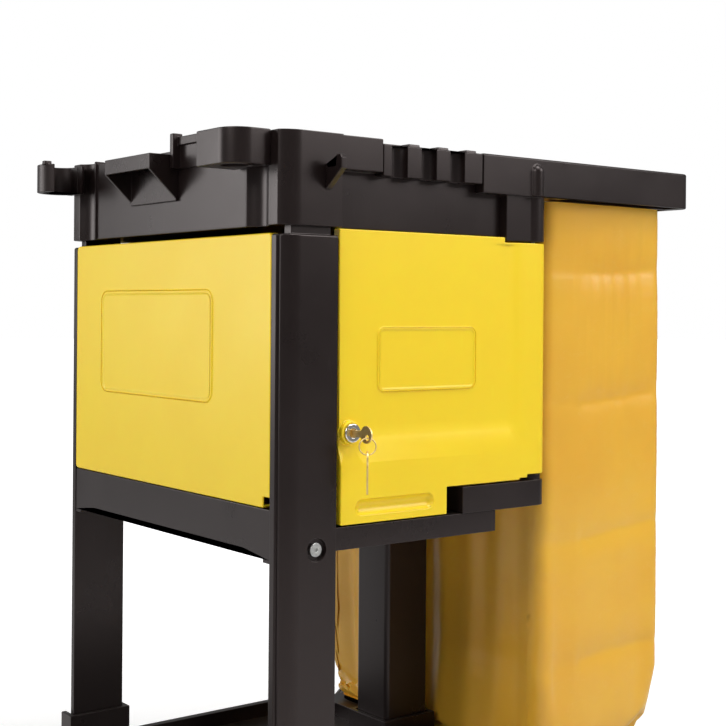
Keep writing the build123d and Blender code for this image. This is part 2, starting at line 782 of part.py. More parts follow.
rack_x0 = end_x + band_end + fit_gap
rack_bottom_z = tray_rim_z - rack_drop
rack_valley_z = tray_rim_z - rack_valley_drop
with BuildPart() as rack_door_side:
    slab(rack_x0, rack_x0 + rack_length, -half_width, -tray_side, rack_bottom_z, rack_valley_z)
    for i in range(3):
        notch_mid = end_x + rack_first + i * rack_pitch
        rod_z(notch_mid, -half_width + notch_inset, rack_bottom_z - overrun,
              tray_rim_z + overrun, notch_radius, mode=Mode.SUBTRACT)
    for i in range(3):
        tooth_mid = end_x + rack_first + (i + 0.5) * rack_pitch
        slab(tooth_mid - rack_tooth / 2, tooth_mid + rack_tooth / 2, -half_width + overrun,
             -tray_side, rack_valley_z - wall, tray_rim_z)
save(rack_door_side, "grip_rack_door_side")

with BuildPart() as rack_far_side:
    add(mirror(rack_door_side.part, about=Plane.XZ))
save(rack_far_side, "grip_rack_far_side")

# ================================================================ bag frame
frame_x0 = end_x + frame_start
arm_inner = half_width - frame_arm
cross_x0 = end_x + crossbar
cross_x1 = cross_x0 + crossbar_width
end_inner_x = rear_x - frame_arm
dome_x = end_x + dome_along
dome_z = frame_top_z - dome_drop
with BuildPart() as bag_frame:
    with BuildSketch(Plane.XY.offset(frame_bottom_z)):
        with Locations(((frame_x0 + rear_x) / 2, 0)):
            Rectangle(rear_x - frame_x0, body_width)
        fillet(vertices().group_by(Axis.X)[-1], frame_corner)
        rounded_area(cross_x1, end_inner_x, arm_inner, frame_inner_corner, mode=Mode.SUBTRACT)
        with Locations((cross_x0 - frame_start / 2, 0)):
            Rectangle(frame_start, 2 * arm_inner, mode=Mode.SUBTRACT)
        with Locations((tray_x1 + fit_gap - frame_start / 2, 0)):
            Rectangle(frame_start, 2 * (tray_side + fit_gap), mode=Mode.SUBTRACT)
    extrude(amount=frame_top_z - frame_bottom_z)
    top_edges = edges().group_by(Axis.Z)[-1]
    fillet(top_edges.filter_by(lambda edge: edge.center().X > tray_x1), frame_round)
    # open channel from below along both arms and the push handle
    for side in sides.values():
        slab(cross_x1 + channel_stop, rear_x - frame_wall - frame_inner_corner,
             side * (half_width - frame_wall), side * (arm_inner + frame_wall),
             frame_bottom_z - overrun, frame_top_z - frame_wall, mode=Mode.SUBTRACT)
    slab(end_inner_x + frame_wall, rear_x - frame_wall, -arm_inner, arm_inner,
         frame_bottom_z - overrun, frame_top_z - frame_wall, mode=Mode.SUBTRACT)
    for side in sides.values():
        pin_y = side * -hinge_y
        # hinge lug: a boss and its block under the arm, the same on both sides
        rod_z(hinge_x, pin_y, lug_bottom_z, frame_bottom_z + overrun, hinge_radius)
        slab(tray_x1 + fit_gap, hinge_x, side * (half_width - lug_block_near),
             side * (half_width - lug_block_far), lug_bottom_z, frame_bottom_z + overrun)
        # domed pin cover on the arm's face
        rod_z(dome_x, side * (half_width - overrun), frame_bottom_z, dome_z, dome_radius)
        with Locations((dome_x, side * (half_width - overrun), dome_z)):
            Sphere(dome_radius)
        # bore for the hinge pin
        rod_z(hinge_x, pin_y, lug_bottom_z - overrun, lug_bottom_z + pin_engage, pin_radius,
              mode=Mode.SUBTRACT)
        # pilot holes for the screws through the tray's side wall
        for screw_x in frame_screw_x:
            rod_y(screw_x, side * tray_side, side * (tray_side - wall + frame_screw_length),
                  frame_screw_z, frame_screw_radius + seat_gap, mode=Mode.SUBTRACT)
save(bag_frame, "bag_frame")

hook_span = end_inner_x - cross_x1 - 2 * hook_margin
with BuildPart() as bag_hooks:
    for side in sides.values():
        for i in range(3):
            spot_x = cross_x1 + hook_margin + i * hook_span / 2
            # stud on the arm's inner wall, with a nose below it that holds the grommet
            slab(spot_x - stud_length / 2, spot_x + stud_length / 2, side * arm_inner,
                 side * (arm_inner - stud_depth), frame_bottom_z - stud_drop,
                 frame_bottom_z + stud_root)
            slab(spot_x - stud_length / 2, spot_x + stud_length / 2,
                 side * (arm_inner - stud_depth), side * (arm_inner + stud_nose),
                 frame_bottom_z - stud_drop, frame_bottom_z - stud_drop + stud_depth)
save(bag_hooks, "bag_hooks")

# ================================================================ vinyl bag
bag_x0 = cross_x1 - bag_lap_front
bag_x1 = end_inner_x + bag_lap_rear
bag_half = arm_inner + bag_lap_side
bag_bottom_half = base_narrow_half - bag_bottom_room
bag_bottom_z = deck_z + bag_lift
bag_top_z = frame_bottom_z - bag_top_gap
flare_z = bag_bottom_z + bag_flare
with BuildPart() as vinyl_bag:
    with BuildSketch(Plane.XY.offset(bag_bottom_z)):
        rounded_area(bag_x0 + bag_bottom_inset, bag_x1 - bag_bottom_inset, bag_bottom_half,
                     bag_bottom_corner)
    with BuildSketch(Plane.XY.offset(flare_z)):
        rounded_area(bag_x0, bag_x1, bag_half, bag_corner)
    loft()
    with BuildSketch(Plane.XY.offset(flare_z)):
        rounded_area(bag_x0, bag_x1, bag_half, bag_corner)
    extrude(amount=bag_top_z - flare_z)
    # open inside
    with BuildSketch(Plane.XY.offset(bag_bottom_z + bag_wall)):
        rounded_area(bag_x0 + bag_bottom_inset + bag_wall, bag_x1 - bag_bottom_inset - bag_wall,
                     bag_bottom_half - bag_wall, bag_bottom_corner - bag_wall)
    with BuildSketch(Plane.XY.offset(flare_z)):
        rounded_area(bag_x0 + bag_wall, bag_x1 - bag_wall, bag_half - bag_wall,
                     bag_corner - bag_wall)
    loft(mode=Mode.SUBTRACT)
    with BuildSketch(Plane.XY.offset(flare_z)):
        rounded_area(bag_x0 + bag_wall, bag_x1 - bag_wall, bag_half - bag_wall,
                     bag_corner - bag_wall)
    extrude(amount=bag_top_z - flare_z + overrun, mode=Mode.SUBTRACT)
save(vinyl_bag, "vinyl_bag")

# ================================================================ cabinet panels
panel_z0 = end_rail_top_z + panel_gap
panel_z1 = tray_bottom_z - panel_drop
panel_half = half_width - post_depth - panel_side_gap
with BuildPart() as end_panel:
    slab(end_x, end_x + panel_depth, -panel_half, panel_half, panel_z0, panel_z1)
    fillet(edges().filter_by(Axis.X), panel_corner)
    fillet(faces().sort_by(Axis.X)[0].edges(), panel_round)
    slab(end_x + skin, end_x + panel_depth + overrun, -panel_half + skin, panel_half - skin,
         panel_z0 + skin, panel_z1 - skin, mode=Mode.SUBTRACT)
    slab(end_x - overrun, end_x + panel_depth + overrun, -panel_half - overrun,
         -panel_half + panel_notch, panel_z0 - overrun, panel_z0 + panel_notch - overrun,
         mode=Mode.SUBTRACT)
save(end_panel, "cabinet_end_panel")

far_panel_x0 = post_x1 + panel_gap
far_panel_x1 = shelf_x1 - panel_gap
far_panel_y1 = shelf_side
far_panel_z0 = shelf_z + panel_gap
far_panel_z1 = tray_bottom_z - panel_gap
with BuildPart() as far_panel:
    slab(far_panel_x0, far_panel_x1, far_panel_y1 - far_panel_depth, far_panel_y1,
         far_panel_z0, far_panel_z1)
    fillet(edges().filter_by(Axis.Y), far_panel_corner)
    slab(far_panel_x0 + skin, far_panel_x1 - skin, far_panel_y1 - far_panel_depth - overrun,
         far_panel_y1 - skin, far_panel_z0 + skin, far_panel_z1 - skin, mode=Mode.SUBTRACT)
save(far_panel, "cabinet_far_panel")

bag_panel_x0 = shelf_x1 - bag_panel_back
with BuildPart() as bag_side_panel:
    slab(bag_panel_x0, bag_panel_x0 + skin, -half_width + door_depth + skin,
         far_panel_y1 - far_panel_depth - panel_gap, shelf_z + fit_gap, tray_bottom_z - fit_gap)
    for i in (-1, 0, 1):
        rib_y = i * bag_panel_rib_pitch
        slab(bag_panel_x0 - bag_panel_rib, bag_panel_x0 + overrun, rib_y - bag_panel_rib / 2,
             rib_y + bag_panel_rib / 2, shelf_z + bag_panel_margin,
             tray_bottom_z - bag_panel_margin)
    # corner left free for the hinge bracket
    slab(bag_panel_x0 - bag_panel_rib, shelf_x1, -half_width,
         -half_width + bracket_width + panel_gap, shelf_z, door_bottom_z, mode=Mode.SUBTRACT)
save(bag_side_panel, "cabinet_bag_side_panel")

# ================================================================ cabinet door
tab_right = end_x + door_tab_right
step_x = end_x + door_step
top_step_x = end_x + door_top_step
field_x0 = door_x + field_margin
field_x1 = step_x - field_margin
field_z0 = door_bottom_z + field_bottom_margin
field_z1 = door_top_z - field_top_margin
barrel_x0 = hinge_x - hinge_radius
with BuildPart() as cabinet_door:
    with BuildSketch(Plane.XZ.offset(-door_face_y)):
        with BuildLine():
            Polyline(
                (door_x, door_tab_z), (tab_right, door_tab_z), (tab_right, door_bottom_z),
                (step_x, door_bottom_z), (step_x, door_notch_z), (hinge_x, door_notch_z),
                (hinge_x, door_lug_z), (top_step_x, door_lug_z), (top_step_x, door_top_z),
                (door_x, door_top_z), close=True,
            )
        make_face()
    extrude(amount=-door_depth)
    # hinge barrel rolled along the door's right edge
    rod_z(hinge_x, hinge_y, door_notch_z, door_lug_z, hinge_radius)
    # open back
    slab(door_x + skin, barrel_x0 - skin, door_face_y + skin, door_face_y + door_depth + overrun,
         door_bottom_z + skin, door_lug_z - skin, mode=Mode.SUBTRACT)
    slab(door_x + skin, tab_right - skin, door_face_y + skin, door_face_y + door_depth + overrun,
         door_tab_z + skin, door_bottom_z + skin + overrun, mode=Mode.SUBTRACT)
    # recessed main field
    with BuildSketch(Plane.XZ.offset(-door_face_y)):
        with Locations(((field_x0 + field_x1) / 2, (field_z0 + field_z1) / 2)):
            RectangleRounded(field_x1 - field_x0, field_z1 - field_z0, field_corner)
    extrude(amount=-field_depth, mode=Mode.SUBTRACT)
    # long finger pull in the tab
    with BuildSketch(Plane.XZ.offset(-door_face_y)):
        with Locations(((door_x + tab_right) / 2, door_tab_z + pull_lift)):
            SlotOverall(tab_right - door_x - 2 * pull_margin, pull_height)
    extrude(amount=-pull_depth, mode=Mode.SUBTRACT)
    # lock boss, lock hole and hinge pin bores
    rod_y(lock_x, door_face_y + overrun, door_face_y + lock_boss_depth, lock_z,
          lock_radius + lock_boss_wall)
    rod_y(lock_x, door_face_y - overrun, door_face_y + door_depth, lock_z, lock_radius + fit_gap,
          mode=Mode.SUBTRACT)
    rod_z(hinge_x, hinge_y, door_lug_z - pin_engage, door_lug_z + overrun, pin_radius + run_gap,
          mode=Mode.SUBTRACT)
    rod_z(hinge_x, hinge_y, door_notch_z - overrun, door_notch_z + pin_engage,
          pin_radius + run_gap, mode=Mode.SUBTRACT)
save(cabinet_door, "cabinet_door")

# ================================================================ hinge hardware
bracket_x0 = end_x + bracket_start
bracket_y1 = -half_width + bracket_width
bracket_z1 = door_bottom_z - bracket_gap
knuckle_z = door_notch_z - knuckle_gap
with BuildPart() as hinge_bracket:
    slab(bracket_x0, hinge_x, -half_width, bracket_y1, shelf_z, bracket_z1)
    rod_z(hinge_x, hinge_y, shelf_z, bracket_z1, hinge_radius)
    rod_z(hinge_x, hinge_y, bracket_z1 - overrun, knuckle_z, knuckle_radius)
    # hollow underside of the arm
    slab(bracket_x0 + wall, hinge_x - knuckle_radius, -half_width + wall, bracket_y1 - wall,
         shelf_z - overrun, bracket_z1 - wall, mode=Mode.SUBTRACT)
    # foot that sits on the shelf corner
    slab(bracket_x0, bag_panel_x0 - bag_panel_rib - overrun, bracket_y1 - wall,
         bracket_y1 + foot_reach, shelf_z, shelf_z + foot_height)
    rod_z(hinge_x, hinge_y, knuckle_z - pin_engage, knuckle_z + overrun, pin_radius,
          mode=Mode.SUBTRACT)
save(hinge_bracket, "hinge_bracket")

with BuildPart() as upper_pin:
    rod_z(hinge_x, hinge_y, door_lug_z - pin_engage + overrun, lug_bottom_z + pin_engage,
          pin_radius)
save(upper_pin, "hinge_pin_upper")

with BuildPart() as lower_pin:
    rod_z(hinge_x, hinge_y, knuckle_z - pin_engage, door_notch_z + pin_engage - overrun,
          pin_radius)
save(lower_pin, "hinge_pin_lower")

# ================================================================ lock and keys
barrel_back = door_face_y + lock_length
flange_face = door_face_y - lock_flange_out
with BuildPart() as lock_barrel:
    rod_y(lock_x, flange_face, door_face_y - run_gap, lock_z, lock_radius + lock_flange_rim)
    fillet(edges().group_by(Axis.Y)[0], lock_flange_out / 2)
    rod_y(lock_x, door_face_y - overrun, barrel_back, lock_z, lock_radius)
    rod_y(lock_x, flange_face - overrun, barrel_back + overrun, lock_z, plug_radius + run_gap,
          mode=Mode.SUBTRACT)
save(lock_barrel, "lock_barrel")

nut_front = door_face_y + lock_boss_depth + run_gap
with BuildPart() as lock_nut:
    hexagon_y(lock_x, nut_front, nut_front + lock_nut_height, lock_z, 2 * (lock_radius + lock_nut_rim))
    rod_y(lock_x, nut_front - overrun, nut_front + lock_nut_height + overrun, lock_z,
          lock_radius + seat_gap, mode=Mode.SUBTRACT)
save(lock_nut, "lock_nut")

plug_face = flange_face + plug_sink
cam_front = barrel_back + cam_gap
cam_back = cam_front + cam_thickness
slot_half = key_width / 2 + key_slot_gap
slot_thin = key_thickness / 2 + key_slot_gap
with BuildPart() as lock_plug:
    rod_y(lock_x, plug_face, cam_front, lock_z, plug_radius)
    rod_y(lock_x, cam_front - overrun, cam_back, lock_z, plug_tail)
    slab(lock_x - slot_thin, lock_x + slot_thin, plug_face - overrun,
         plug_face + key_depth + overrun, lock_z - slot_half, lock_z + slot_half,
         mode=Mode.SUBTRACT)
    rod_y(lock_x, cam_front - wall, cam_back + overrun, lock_z, screw_shank + run_gap,
          mode=Mode.SUBTRACT)
save(lock_plug, "lock_plug")

with BuildPart() as lock_cam:
    with BuildSketch(Plane.XZ.offset(-cam_front)):
        with Locations((lock_x, lock_z - cam_length / 2 + cam_width / 2)):
            SlotOverall(cam_length, cam_width, rotation=90)
        with Locations((lock_x, lock_z)):
            Circle(plug_tail + seat_gap, mode=Mode.SUBTRACT)
    extrude(amount=-cam_thickness)
save(lock_cam, "lock_cam")

with BuildPart() as cam_screw:
    rod_y(lock_x, cam_back, cam_back + lock_flange_out / 2, lock_z, screw_head)
    rod_y(lock_x, cam_front - wall + overrun, cam_back + overrun / 2, lock_z, screw_shank)
save(cam_screw, "cam_screw")

bow_y = door_face_y - bow_centre
key_tip_y = plug_face + key_depth
ring_hole_y = bow_y - bow_hole_out
ring_pivot_z = lock_z - ring_pivot_down
with BuildPart() as door_key:
    with BuildSketch(Plane.YZ.offset(lock_x - key_thickness / 2)):
        with Locations((bow_y, lock_z)):
            Circle(bow_radius)
        with Locations(((bow_y + key_tip_y) / 2, lock_z)):
            Rectangle(key_tip_y - bow_y, key_width)
        with Locations((ring_hole_y, lock_z - bow_hole_down)):
            Circle(bow_hole_radius, mode=Mode.SUBTRACT)
    extrude(amount=key_thickness)
save(door_key, "door_key")

# The ring hangs in a vertical plane turned from the key's own plane. Its normal is hang_normal.
hang_normal = (0.6103, 0.7922, 0)
hang_side = (0.7922, -0.6103, 0)
ring_mid_z = ring_pivot_z - ring_radius
with BuildPart() as key_ring:
    with BuildSketch(Plane(origin=(lock_x, ring_hole_y, ring_mid_z), x_dir=(0, 0, 1),
                           z_dir=hang_side)):
        with Locations((ring_radius, 0)):
            Circle(ring_wire)
    revolve(axis=Axis((lock_x, ring_hole_y, ring_mid_z), hang_normal))
save(key_ring, "key_ring")

spare_plane = Plane(origin=(lock_x, ring_hole_y, ring_pivot_z - 2 * ring_radius),
                    x_dir=hang_normal, z_dir=hang_side)
with BuildPart() as spare_key:
    with BuildSketch(spare_plane.offset(-key_thickness / 2)):
        with Locations((0, -spare_bow_drop)):
            Circle(bow_radius)
        with Locations((0, -spare_blade_drop)):
            Rectangle(key_width, spare_length)
        with Locations((0, -spare_hole_down)):
            Circle(spare_hole_radius, mode=Mode.SUBTRACT)
    extrude(amount=key_thickness)
save(spare_key, "spare_key")

strike_y = -half_width + post_depth
strike_x1 = post_x1 - strike_inset
screw_x = strike_x1 - strike_screw_x
with BuildPart() as strike_plate:
    slab(strike_x1 - strike_width, strike_x1, strike_y, strike_y + strike_thickness,
         lock_z - strike_length / 2, lock_z + strike_length / 2)
    for side in sides.values():
        rod_y(screw_x, strike_y - overrun, strike_y + strike_thickness + overrun,
              lock_z + side * strike_screw_z, strike_screw_shank + run_gap, mode=Mode.SUBTRACT)
save(strike_plate, "strike_plate")

with BuildPart() as strike_screws:
    for side in sides.values():
        rod_y(screw_x, strike_y, strike_y + strike_thickness + run_gap,
              lock_z + side * strike_screw_z, strike_screw_shank)
        rod_y(screw_x, strike_y + strike_thickness, strike_y + 2 * strike_thickness,
              lock_z + side * strike_screw_z, strike_screw_head)
save(strike_screws, "strike_screws")

# ================================================================ frame fasteners
bolt_seat = half_width - recess_depth
post_nut_seats = {shelf_bolt_z: notch_y - boss_depth, base_bolt_z: notch_y - socket_wall}
with BuildPart() as post_bolts:
    for side in sides.values():
        for bolt_z in post_nut_seats:
            rod_y(post_bolt_x, side * bolt_seat, side * (bolt_seat - bolt_length), bolt_z,
                  bolt_radius)
            rod_y(post_bolt_x, side * bolt_seat, side * (bolt_seat + bolt_head_height), bolt_z,
                  bolt_head_radius)
save(post_bolts, "post_bolts")

with BuildPart() as post_nuts:
    for side in sides.values():
        for bolt_z, seat in post_nut_seats.items():
            y_low = min(side * seat, side * (seat - nut_height))
            hexagon_y(post_bolt_x, y_low, y_low + nut_height, bolt_z, nut_flats)
            rod_y(post_bolt_x, y_low - overrun, y_low + nut_height + overrun, bolt_z,
                  bolt_radius + seat_gap, mode=Mode.SUBTRACT)
save(post_nuts, "post_nuts")

column_seats = {base_bolt_z: socket_half, column_bolt_z: collar_half}
with BuildPart() as column_bolts:
    for bolt_z, seat in column_seats.items():
        rod_y(column_mid_x, -seat, seat + nut_height + skin, bolt_z, bolt_radius)
        rod_y(column_mid_x, -seat - bolt_head_height, -seat, bolt_z, bolt_head_radius)
save(column_bolts, "column_bolts")

with BuildPart() as column_nuts:
    for bolt_z, seat in column_seats.items():
        hexagon_y(column_mid_x, seat, seat + nut_height, bolt_z, nut_flats)
        rod_y(column_mid_x, seat - overrun, seat + nut_height + overrun, bolt_z,
              bolt_radius + seat_gap, mode=Mode.SUBTRACT)
save(column_nuts, "column_nuts")

screw_seat = tray_side - wall
with BuildPart() as frame_screws:
    for side in sides.values():
        for screw_x in frame_screw_x:
            rod_y(screw_x, side * screw_seat, side * (screw_seat + frame_screw_length - overrun),
                  frame_screw_z, frame_screw_radius)
            rod_y(screw_x, side * screw_seat, side * (screw_seat - frame_screw_head_height),
                  frame_screw_z, frame_screw_head)
save(frame_screws, "frame_screws")

# ================================================================ rear wheels
wheel_y = half_width
wheel_in = wheel_y - wheel_width / 2
wheel_out = wheel_y + wheel_width / 2
axle_end = wheel_out + cap_thickness + overrun
hub_radius = wheel_radius - tyre_depth
dish_radius = hub_radius - hub_rim
with BuildPart() as rear_axle:
    rod_y(axle_x, -axle_end, axle_end, axle_z, axle_radius)
save(rear_axle, "rear_axle")

with BuildPart() as axle_washers:
    for side in sides.values():
        rod_y(axle_x, side * (base_narrow_half + washer_gap), side * (wheel_in - washer_gap),
              axle_z, washer_radius)
        rod_y(axle_x, side * base_narrow_half, side * wheel_in, axle_z, axle_radius + seat_gap,
              mode=Mode.SUBTRACT)
save(axle_washers, "axle_washers")

with BuildPart() as axle_caps:
    for side in sides.values():
        rod_y(axle_x, side * (wheel_out + fit_gap), side * (axle_end + overrun), axle_z,
              cap_radius)
        rod_y(axle_x, side * wheel_out, side * axle_end, axle_z, axle_radius + seat_gap,
              mode=Mode.SUBTRACT)
save(axle_caps, "axle_caps")

spoke_middle = (hub_boss_radius + dish_radius) / 2
spoke_length = dish_radius - hub_boss_radius + 2 * overrun
for name, side in sides.items():
    mid_y = side * wheel_y
    with BuildPart() as rear_hub:
        rod_y(axle_x, side * (wheel_in + hub_inset), side * (wheel_out - hub_inset), axle_z,
              hub_radius)
        # dished faces that leave a web with a rim
        for face in (-1, 1):
            rod_y(axle_x, mid_y + face * web_thickness / 2, mid_y + face * wheel_width, axle_z,
                  dish_radius, mode=Mode.SUBTRACT)
        # boss and spokes
        rod_y(axle_x, side * wheel_in, side * wheel_out, axle_z, hub_boss_radius)
        with Locations(Location((axle_x, mid_y, axle_z), (90, 0, 0))):
            with PolarLocations(spoke_middle, spoke_count):
                Box(spoke_length, spoke_width, wheel_width - 2 * hub_inset - spoke_inset)
        rod_y(axle_x, side * (wheel_in - overrun), side * (wheel_out + overrun), axle_z,
              axle_radius + run_gap, mode=Mode.SUBTRACT)
    save(rear_hub, f"rear_wheel_hub_{name}")

    with BuildPart() as rear_tyre:
        rod_y(axle_x, side * wheel_in, side * wheel_out, axle_z, wheel_radius)
        fillet(edges().filter_by(GeomType.CIRCLE), tyre_round)
        rod_y(axle_x, side * (wheel_in - overrun), side * (wheel_out + overrun), axle_z,
              hub_radius, mode=Mode.SUBTRACT)
    save(rear_tyre, f"rear_wheel_tyre_{name}")

# ================================================================ swivel casters
plate_bottom = caster_height - caster_plate
race_bottom = plate_bottom - race_height
crown_top = race_bottom - overrun / 2
crown_bottom = crown_top - crown_thickness
caster_half = caster_width / 2
caster_axle_x = caster_x + caster_trail
caster_axle_z = caster_radius
caster_core_radius = caster_radius - caster_core_depth
fork_in = caster_half + fork_gap
fork_out = fork_in + fork_thickness
for name, side in sides.items():
    spot_y = side * caster_y
    with BuildPart() as plate:
        slab(caster_x - plate_length / 2, caster_x + plate_length / 2, spot_y - plate_width / 2,
             spot_y + plate_width / 2, plate_bottom, caster_height)
        fillet(edges().filter_by(Axis.Z), plate_corner)
        with Locations((caster_x, spot_y, plate_bottom)):
            with GridLocations(plate_bolt_x, plate_bolt_y, 2, 2):
                Cylinder(plate_bolt_hole, 3 * caster_plate, mode=Mode.SUBTRACT)
        rod_z(caster_x, spot_y, crown_bottom - wall, plate_bottom + overrun, kingpin_radius)
        rod_z(caster_x, spot_y, crown_bottom - overrun - kingpin_head_height,
              crown_bottom - overrun, kingpin_head_radius)
    save(plate, f"caster_plate_{name}")

    with BuildPart() as race:
        rod_z(caster_x, spot_y, race_bottom, plate_bottom - run_gap, race_radius)
        fillet(edges().group_by(Axis.Z)[0], race_round)
        rod_z(caster_x, spot_y, race_bottom - overrun, plate_bottom, kingpin_radius + fit_gap,
              mode=Mode.SUBTRACT)
    save(race, f"caster_race_{name}")

    with BuildPart() as fork:
        rod_z(caster_x, spot_y, crown_bottom, crown_top, crown_radius)
        for cheek in (-1, 1):
            y_low = spot_y + min(cheek * fork_in, cheek * fork_out)
            with BuildSketch(Plane.XZ.offset(-y_low)):
                with BuildLine():
                    Polyline(
                        (caster_x - fork_top_half, crown_top),
                        (caster_x + fork_top_half, crown_top),
                        (caster_axle_x + fork_foot_half, caster_axle_z),
                        (caster_axle_x + fork_toe_half, caster_axle_z - fork_toe_drop),
                        (caster_axle_x - fork_toe_half, caster_axle_z - fork_toe_drop),
                        (caster_axle_x - fork_foot_half, caster_axle_z), close=True,
                    )
                make_face()
            extrude(amount=-fork_thickness)
        rod_z(caster_x, spot_y, crown_bottom - overrun, crown_top + overrun,
              kingpin_radius + run_gap, mode=Mode.SUBTRACT)
        # room for the kingpin's head between the cheeks
        rod_z(caster_x, spot_y, crown_bottom - 2 * wall, crown_bottom,
              kingpin_head_radius + overrun, mode=Mode.SUBTRACT)
        rod_y(caster_axle_x, spot_y - 2 * fork_out, spot_y + 2 * fork_out, caster_axle_z,
              caster_axle_radius + seat_gap, mode=Mode.SUBTRACT)
    save(fork, f"caster_fork_{name}")

    with BuildPart() as caster_axle:
        rod_y(caster_axle_x, spot_y - fork_out - overrun, spot_y + fork_out + nut_height + overrun,
              caster_axle_z, caster_axle_radius)
        rod_y(caster_axle_x, spot_y - fork_out - bolt_head_height, spot_y - fork_out - run_gap,
              caster_axle_z, caster_head_radius)
        hexagon_y(caster_axle_x, spot_y + fork_out + run_gap, spot_y + fork_out + nut_height,
                  caster_axle_z, nut_flats)
    save(caster_axle, f"caster_axle_{name}")

    with BuildPart() as caster_core:
        rod_y(caster_axle_x, spot_y - caster_half, spot_y + caster_half, caster_axle_z,
              caster_core_radius)
        for face in (-1, 1):
            rod_y(caster_axle_x, spot_y + face * caster_web / 2, spot_y + face * caster_width,
                  caster_axle_z, caster_core_radius - caster_core_rim, mode=Mode.SUBTRACT)
        rod_y(caster_axle_x, spot_y - caster_half - overrun, spot_y + caster_half + overrun,
              caster_axle_z, caster_boss_radius)
        rod_y(caster_axle_x, spot_y - caster_width, spot_y + caster_width, caster_axle_z,
              caster_axle_radius + run_gap, mode=Mode.SUBTRACT)
    save(caster_core, f"caster_wheel_{name}")

    with BuildPart() as caster_tyre:
        rod_y(caster_axle_x, spot_y - caster_half, spot_y + caster_half, caster_axle_z,
              caster_radius)
        fillet(edges().filter_by(GeomType.CIRCLE), caster_tyre_round)
        rod_y(caster_axle_x, spot_y - caster_width, spot_y + caster_width, caster_axle_z,
              caster_core_radius, mode=Mode.SUBTRACT)
    save(caster_tyre, f"caster_tyre_{name}")

bolt_seat_z = deck_z - plate_bolt_sink
with BuildPart() as caster_bolts:
    for side in sides.values():
        with Locations((caster_x, side * caster_y, 0)):
            with GridLocations(plate_bolt_x, plate_bolt_y, 2, 2) as spots:
                bolt_spots = [spot.position for spot in spots.locations]
        for spot in bolt_spots:
            rod_z(spot.X, spot.Y, plate_bottom - plate_bolt_head_height, plate_bottom,
                  plate_bolt_head)
            rod_z(spot.X, spot.Y, plate_bottom, bolt_seat_z, plate_bolt_radius)
            rod_z(spot.X, spot.Y, bolt_seat_z, bolt_seat_z + plate_bolt_head_height,
                  plate_bolt_head)
save(caster_bolts, "caster_bolts")
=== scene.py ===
"""Visual model of a janitor's cleaning cart: cabinet, top tray, vinyl bag, lock and wheels.

Every sub-assembly is a class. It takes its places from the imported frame, builds or softens its
pieces, dresses them in a finish and hands them to the body that they move with. Sizes are in
millimetres and become metres where they enter the scene.
"""
import logging
import math
from dataclasses import dataclass, field
from enum import Enum
from typing import Callable, Iterable

import bpy
from mathutils import Matrix, Vector, noise


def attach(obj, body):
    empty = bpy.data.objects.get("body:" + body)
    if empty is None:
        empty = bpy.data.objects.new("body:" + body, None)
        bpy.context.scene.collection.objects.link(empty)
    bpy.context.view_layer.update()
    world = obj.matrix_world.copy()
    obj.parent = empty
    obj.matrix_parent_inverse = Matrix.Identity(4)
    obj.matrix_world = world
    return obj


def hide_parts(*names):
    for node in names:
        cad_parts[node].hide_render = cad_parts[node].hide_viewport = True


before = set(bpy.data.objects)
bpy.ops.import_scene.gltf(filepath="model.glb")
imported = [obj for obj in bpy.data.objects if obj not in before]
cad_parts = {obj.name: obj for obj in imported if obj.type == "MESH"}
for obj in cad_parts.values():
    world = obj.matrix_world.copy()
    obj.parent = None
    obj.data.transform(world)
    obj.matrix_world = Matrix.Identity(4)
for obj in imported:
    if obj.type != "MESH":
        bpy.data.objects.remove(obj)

MM = 0.001
SMOOTH_ANGLE = math.radians(33)
FLAT_ANGLE = math.radians(0.6)
MERGE = 2e-6
CLEAN = 2e-5
DUST_COLOUR = (0.42, 0.38, 0.33, 1.0)
CREASE_COLOUR = (0.95, 0.72, 0.32, 1.0)

Triple = tuple[float, float, float]
log = logging.getLogger("cart")


class Axis(Enum):
    """Direction that a round primitive stands in, with the turn that puts it there."""

    X = (0.0, math.pi / 2, 0.0)
    Y = (math.pi / 2, 0.0, 0.0)
    Z = (0.0, 0.0, 0.0)


class Pick(Enum):
    """What is picked in edit mode, as points, edges and faces."""

    POINTS = (True, False, False)
    EDGES = (False, True, False)
    FACES = (False, False, True)


class Slot(Enum):
    """Material slots of the record."""

    BLACK = "black_plastic"
    YELLOW = "yellow_plastic"
    VINYL = "bag_vinyl"
    STEEL = "plated_steel"
    CHROME = "chrome"
    BRASS = "brass"
    NICKEL = "nickel"
    HUB = "hub_plastic"
    TYRE = "grey_tyre"


class Body(Enum):
    """Bodies of the frame that carry a fixed set of pieces."""

    ROOT = "root"
    DOOR = "door"
    CORE = "lock_core"
    RING = "key_ring"
    SPARE = "spare_key"


def mm(x: float, y: float, z: float) -> Vector:
    """Turns a point in millimetres into one in metres.

    Args:
        x, y, z: the coordinates in millimetres.

    Returns:
        The same point in metres.
    """
    return Vector((x, y, z)) * MM


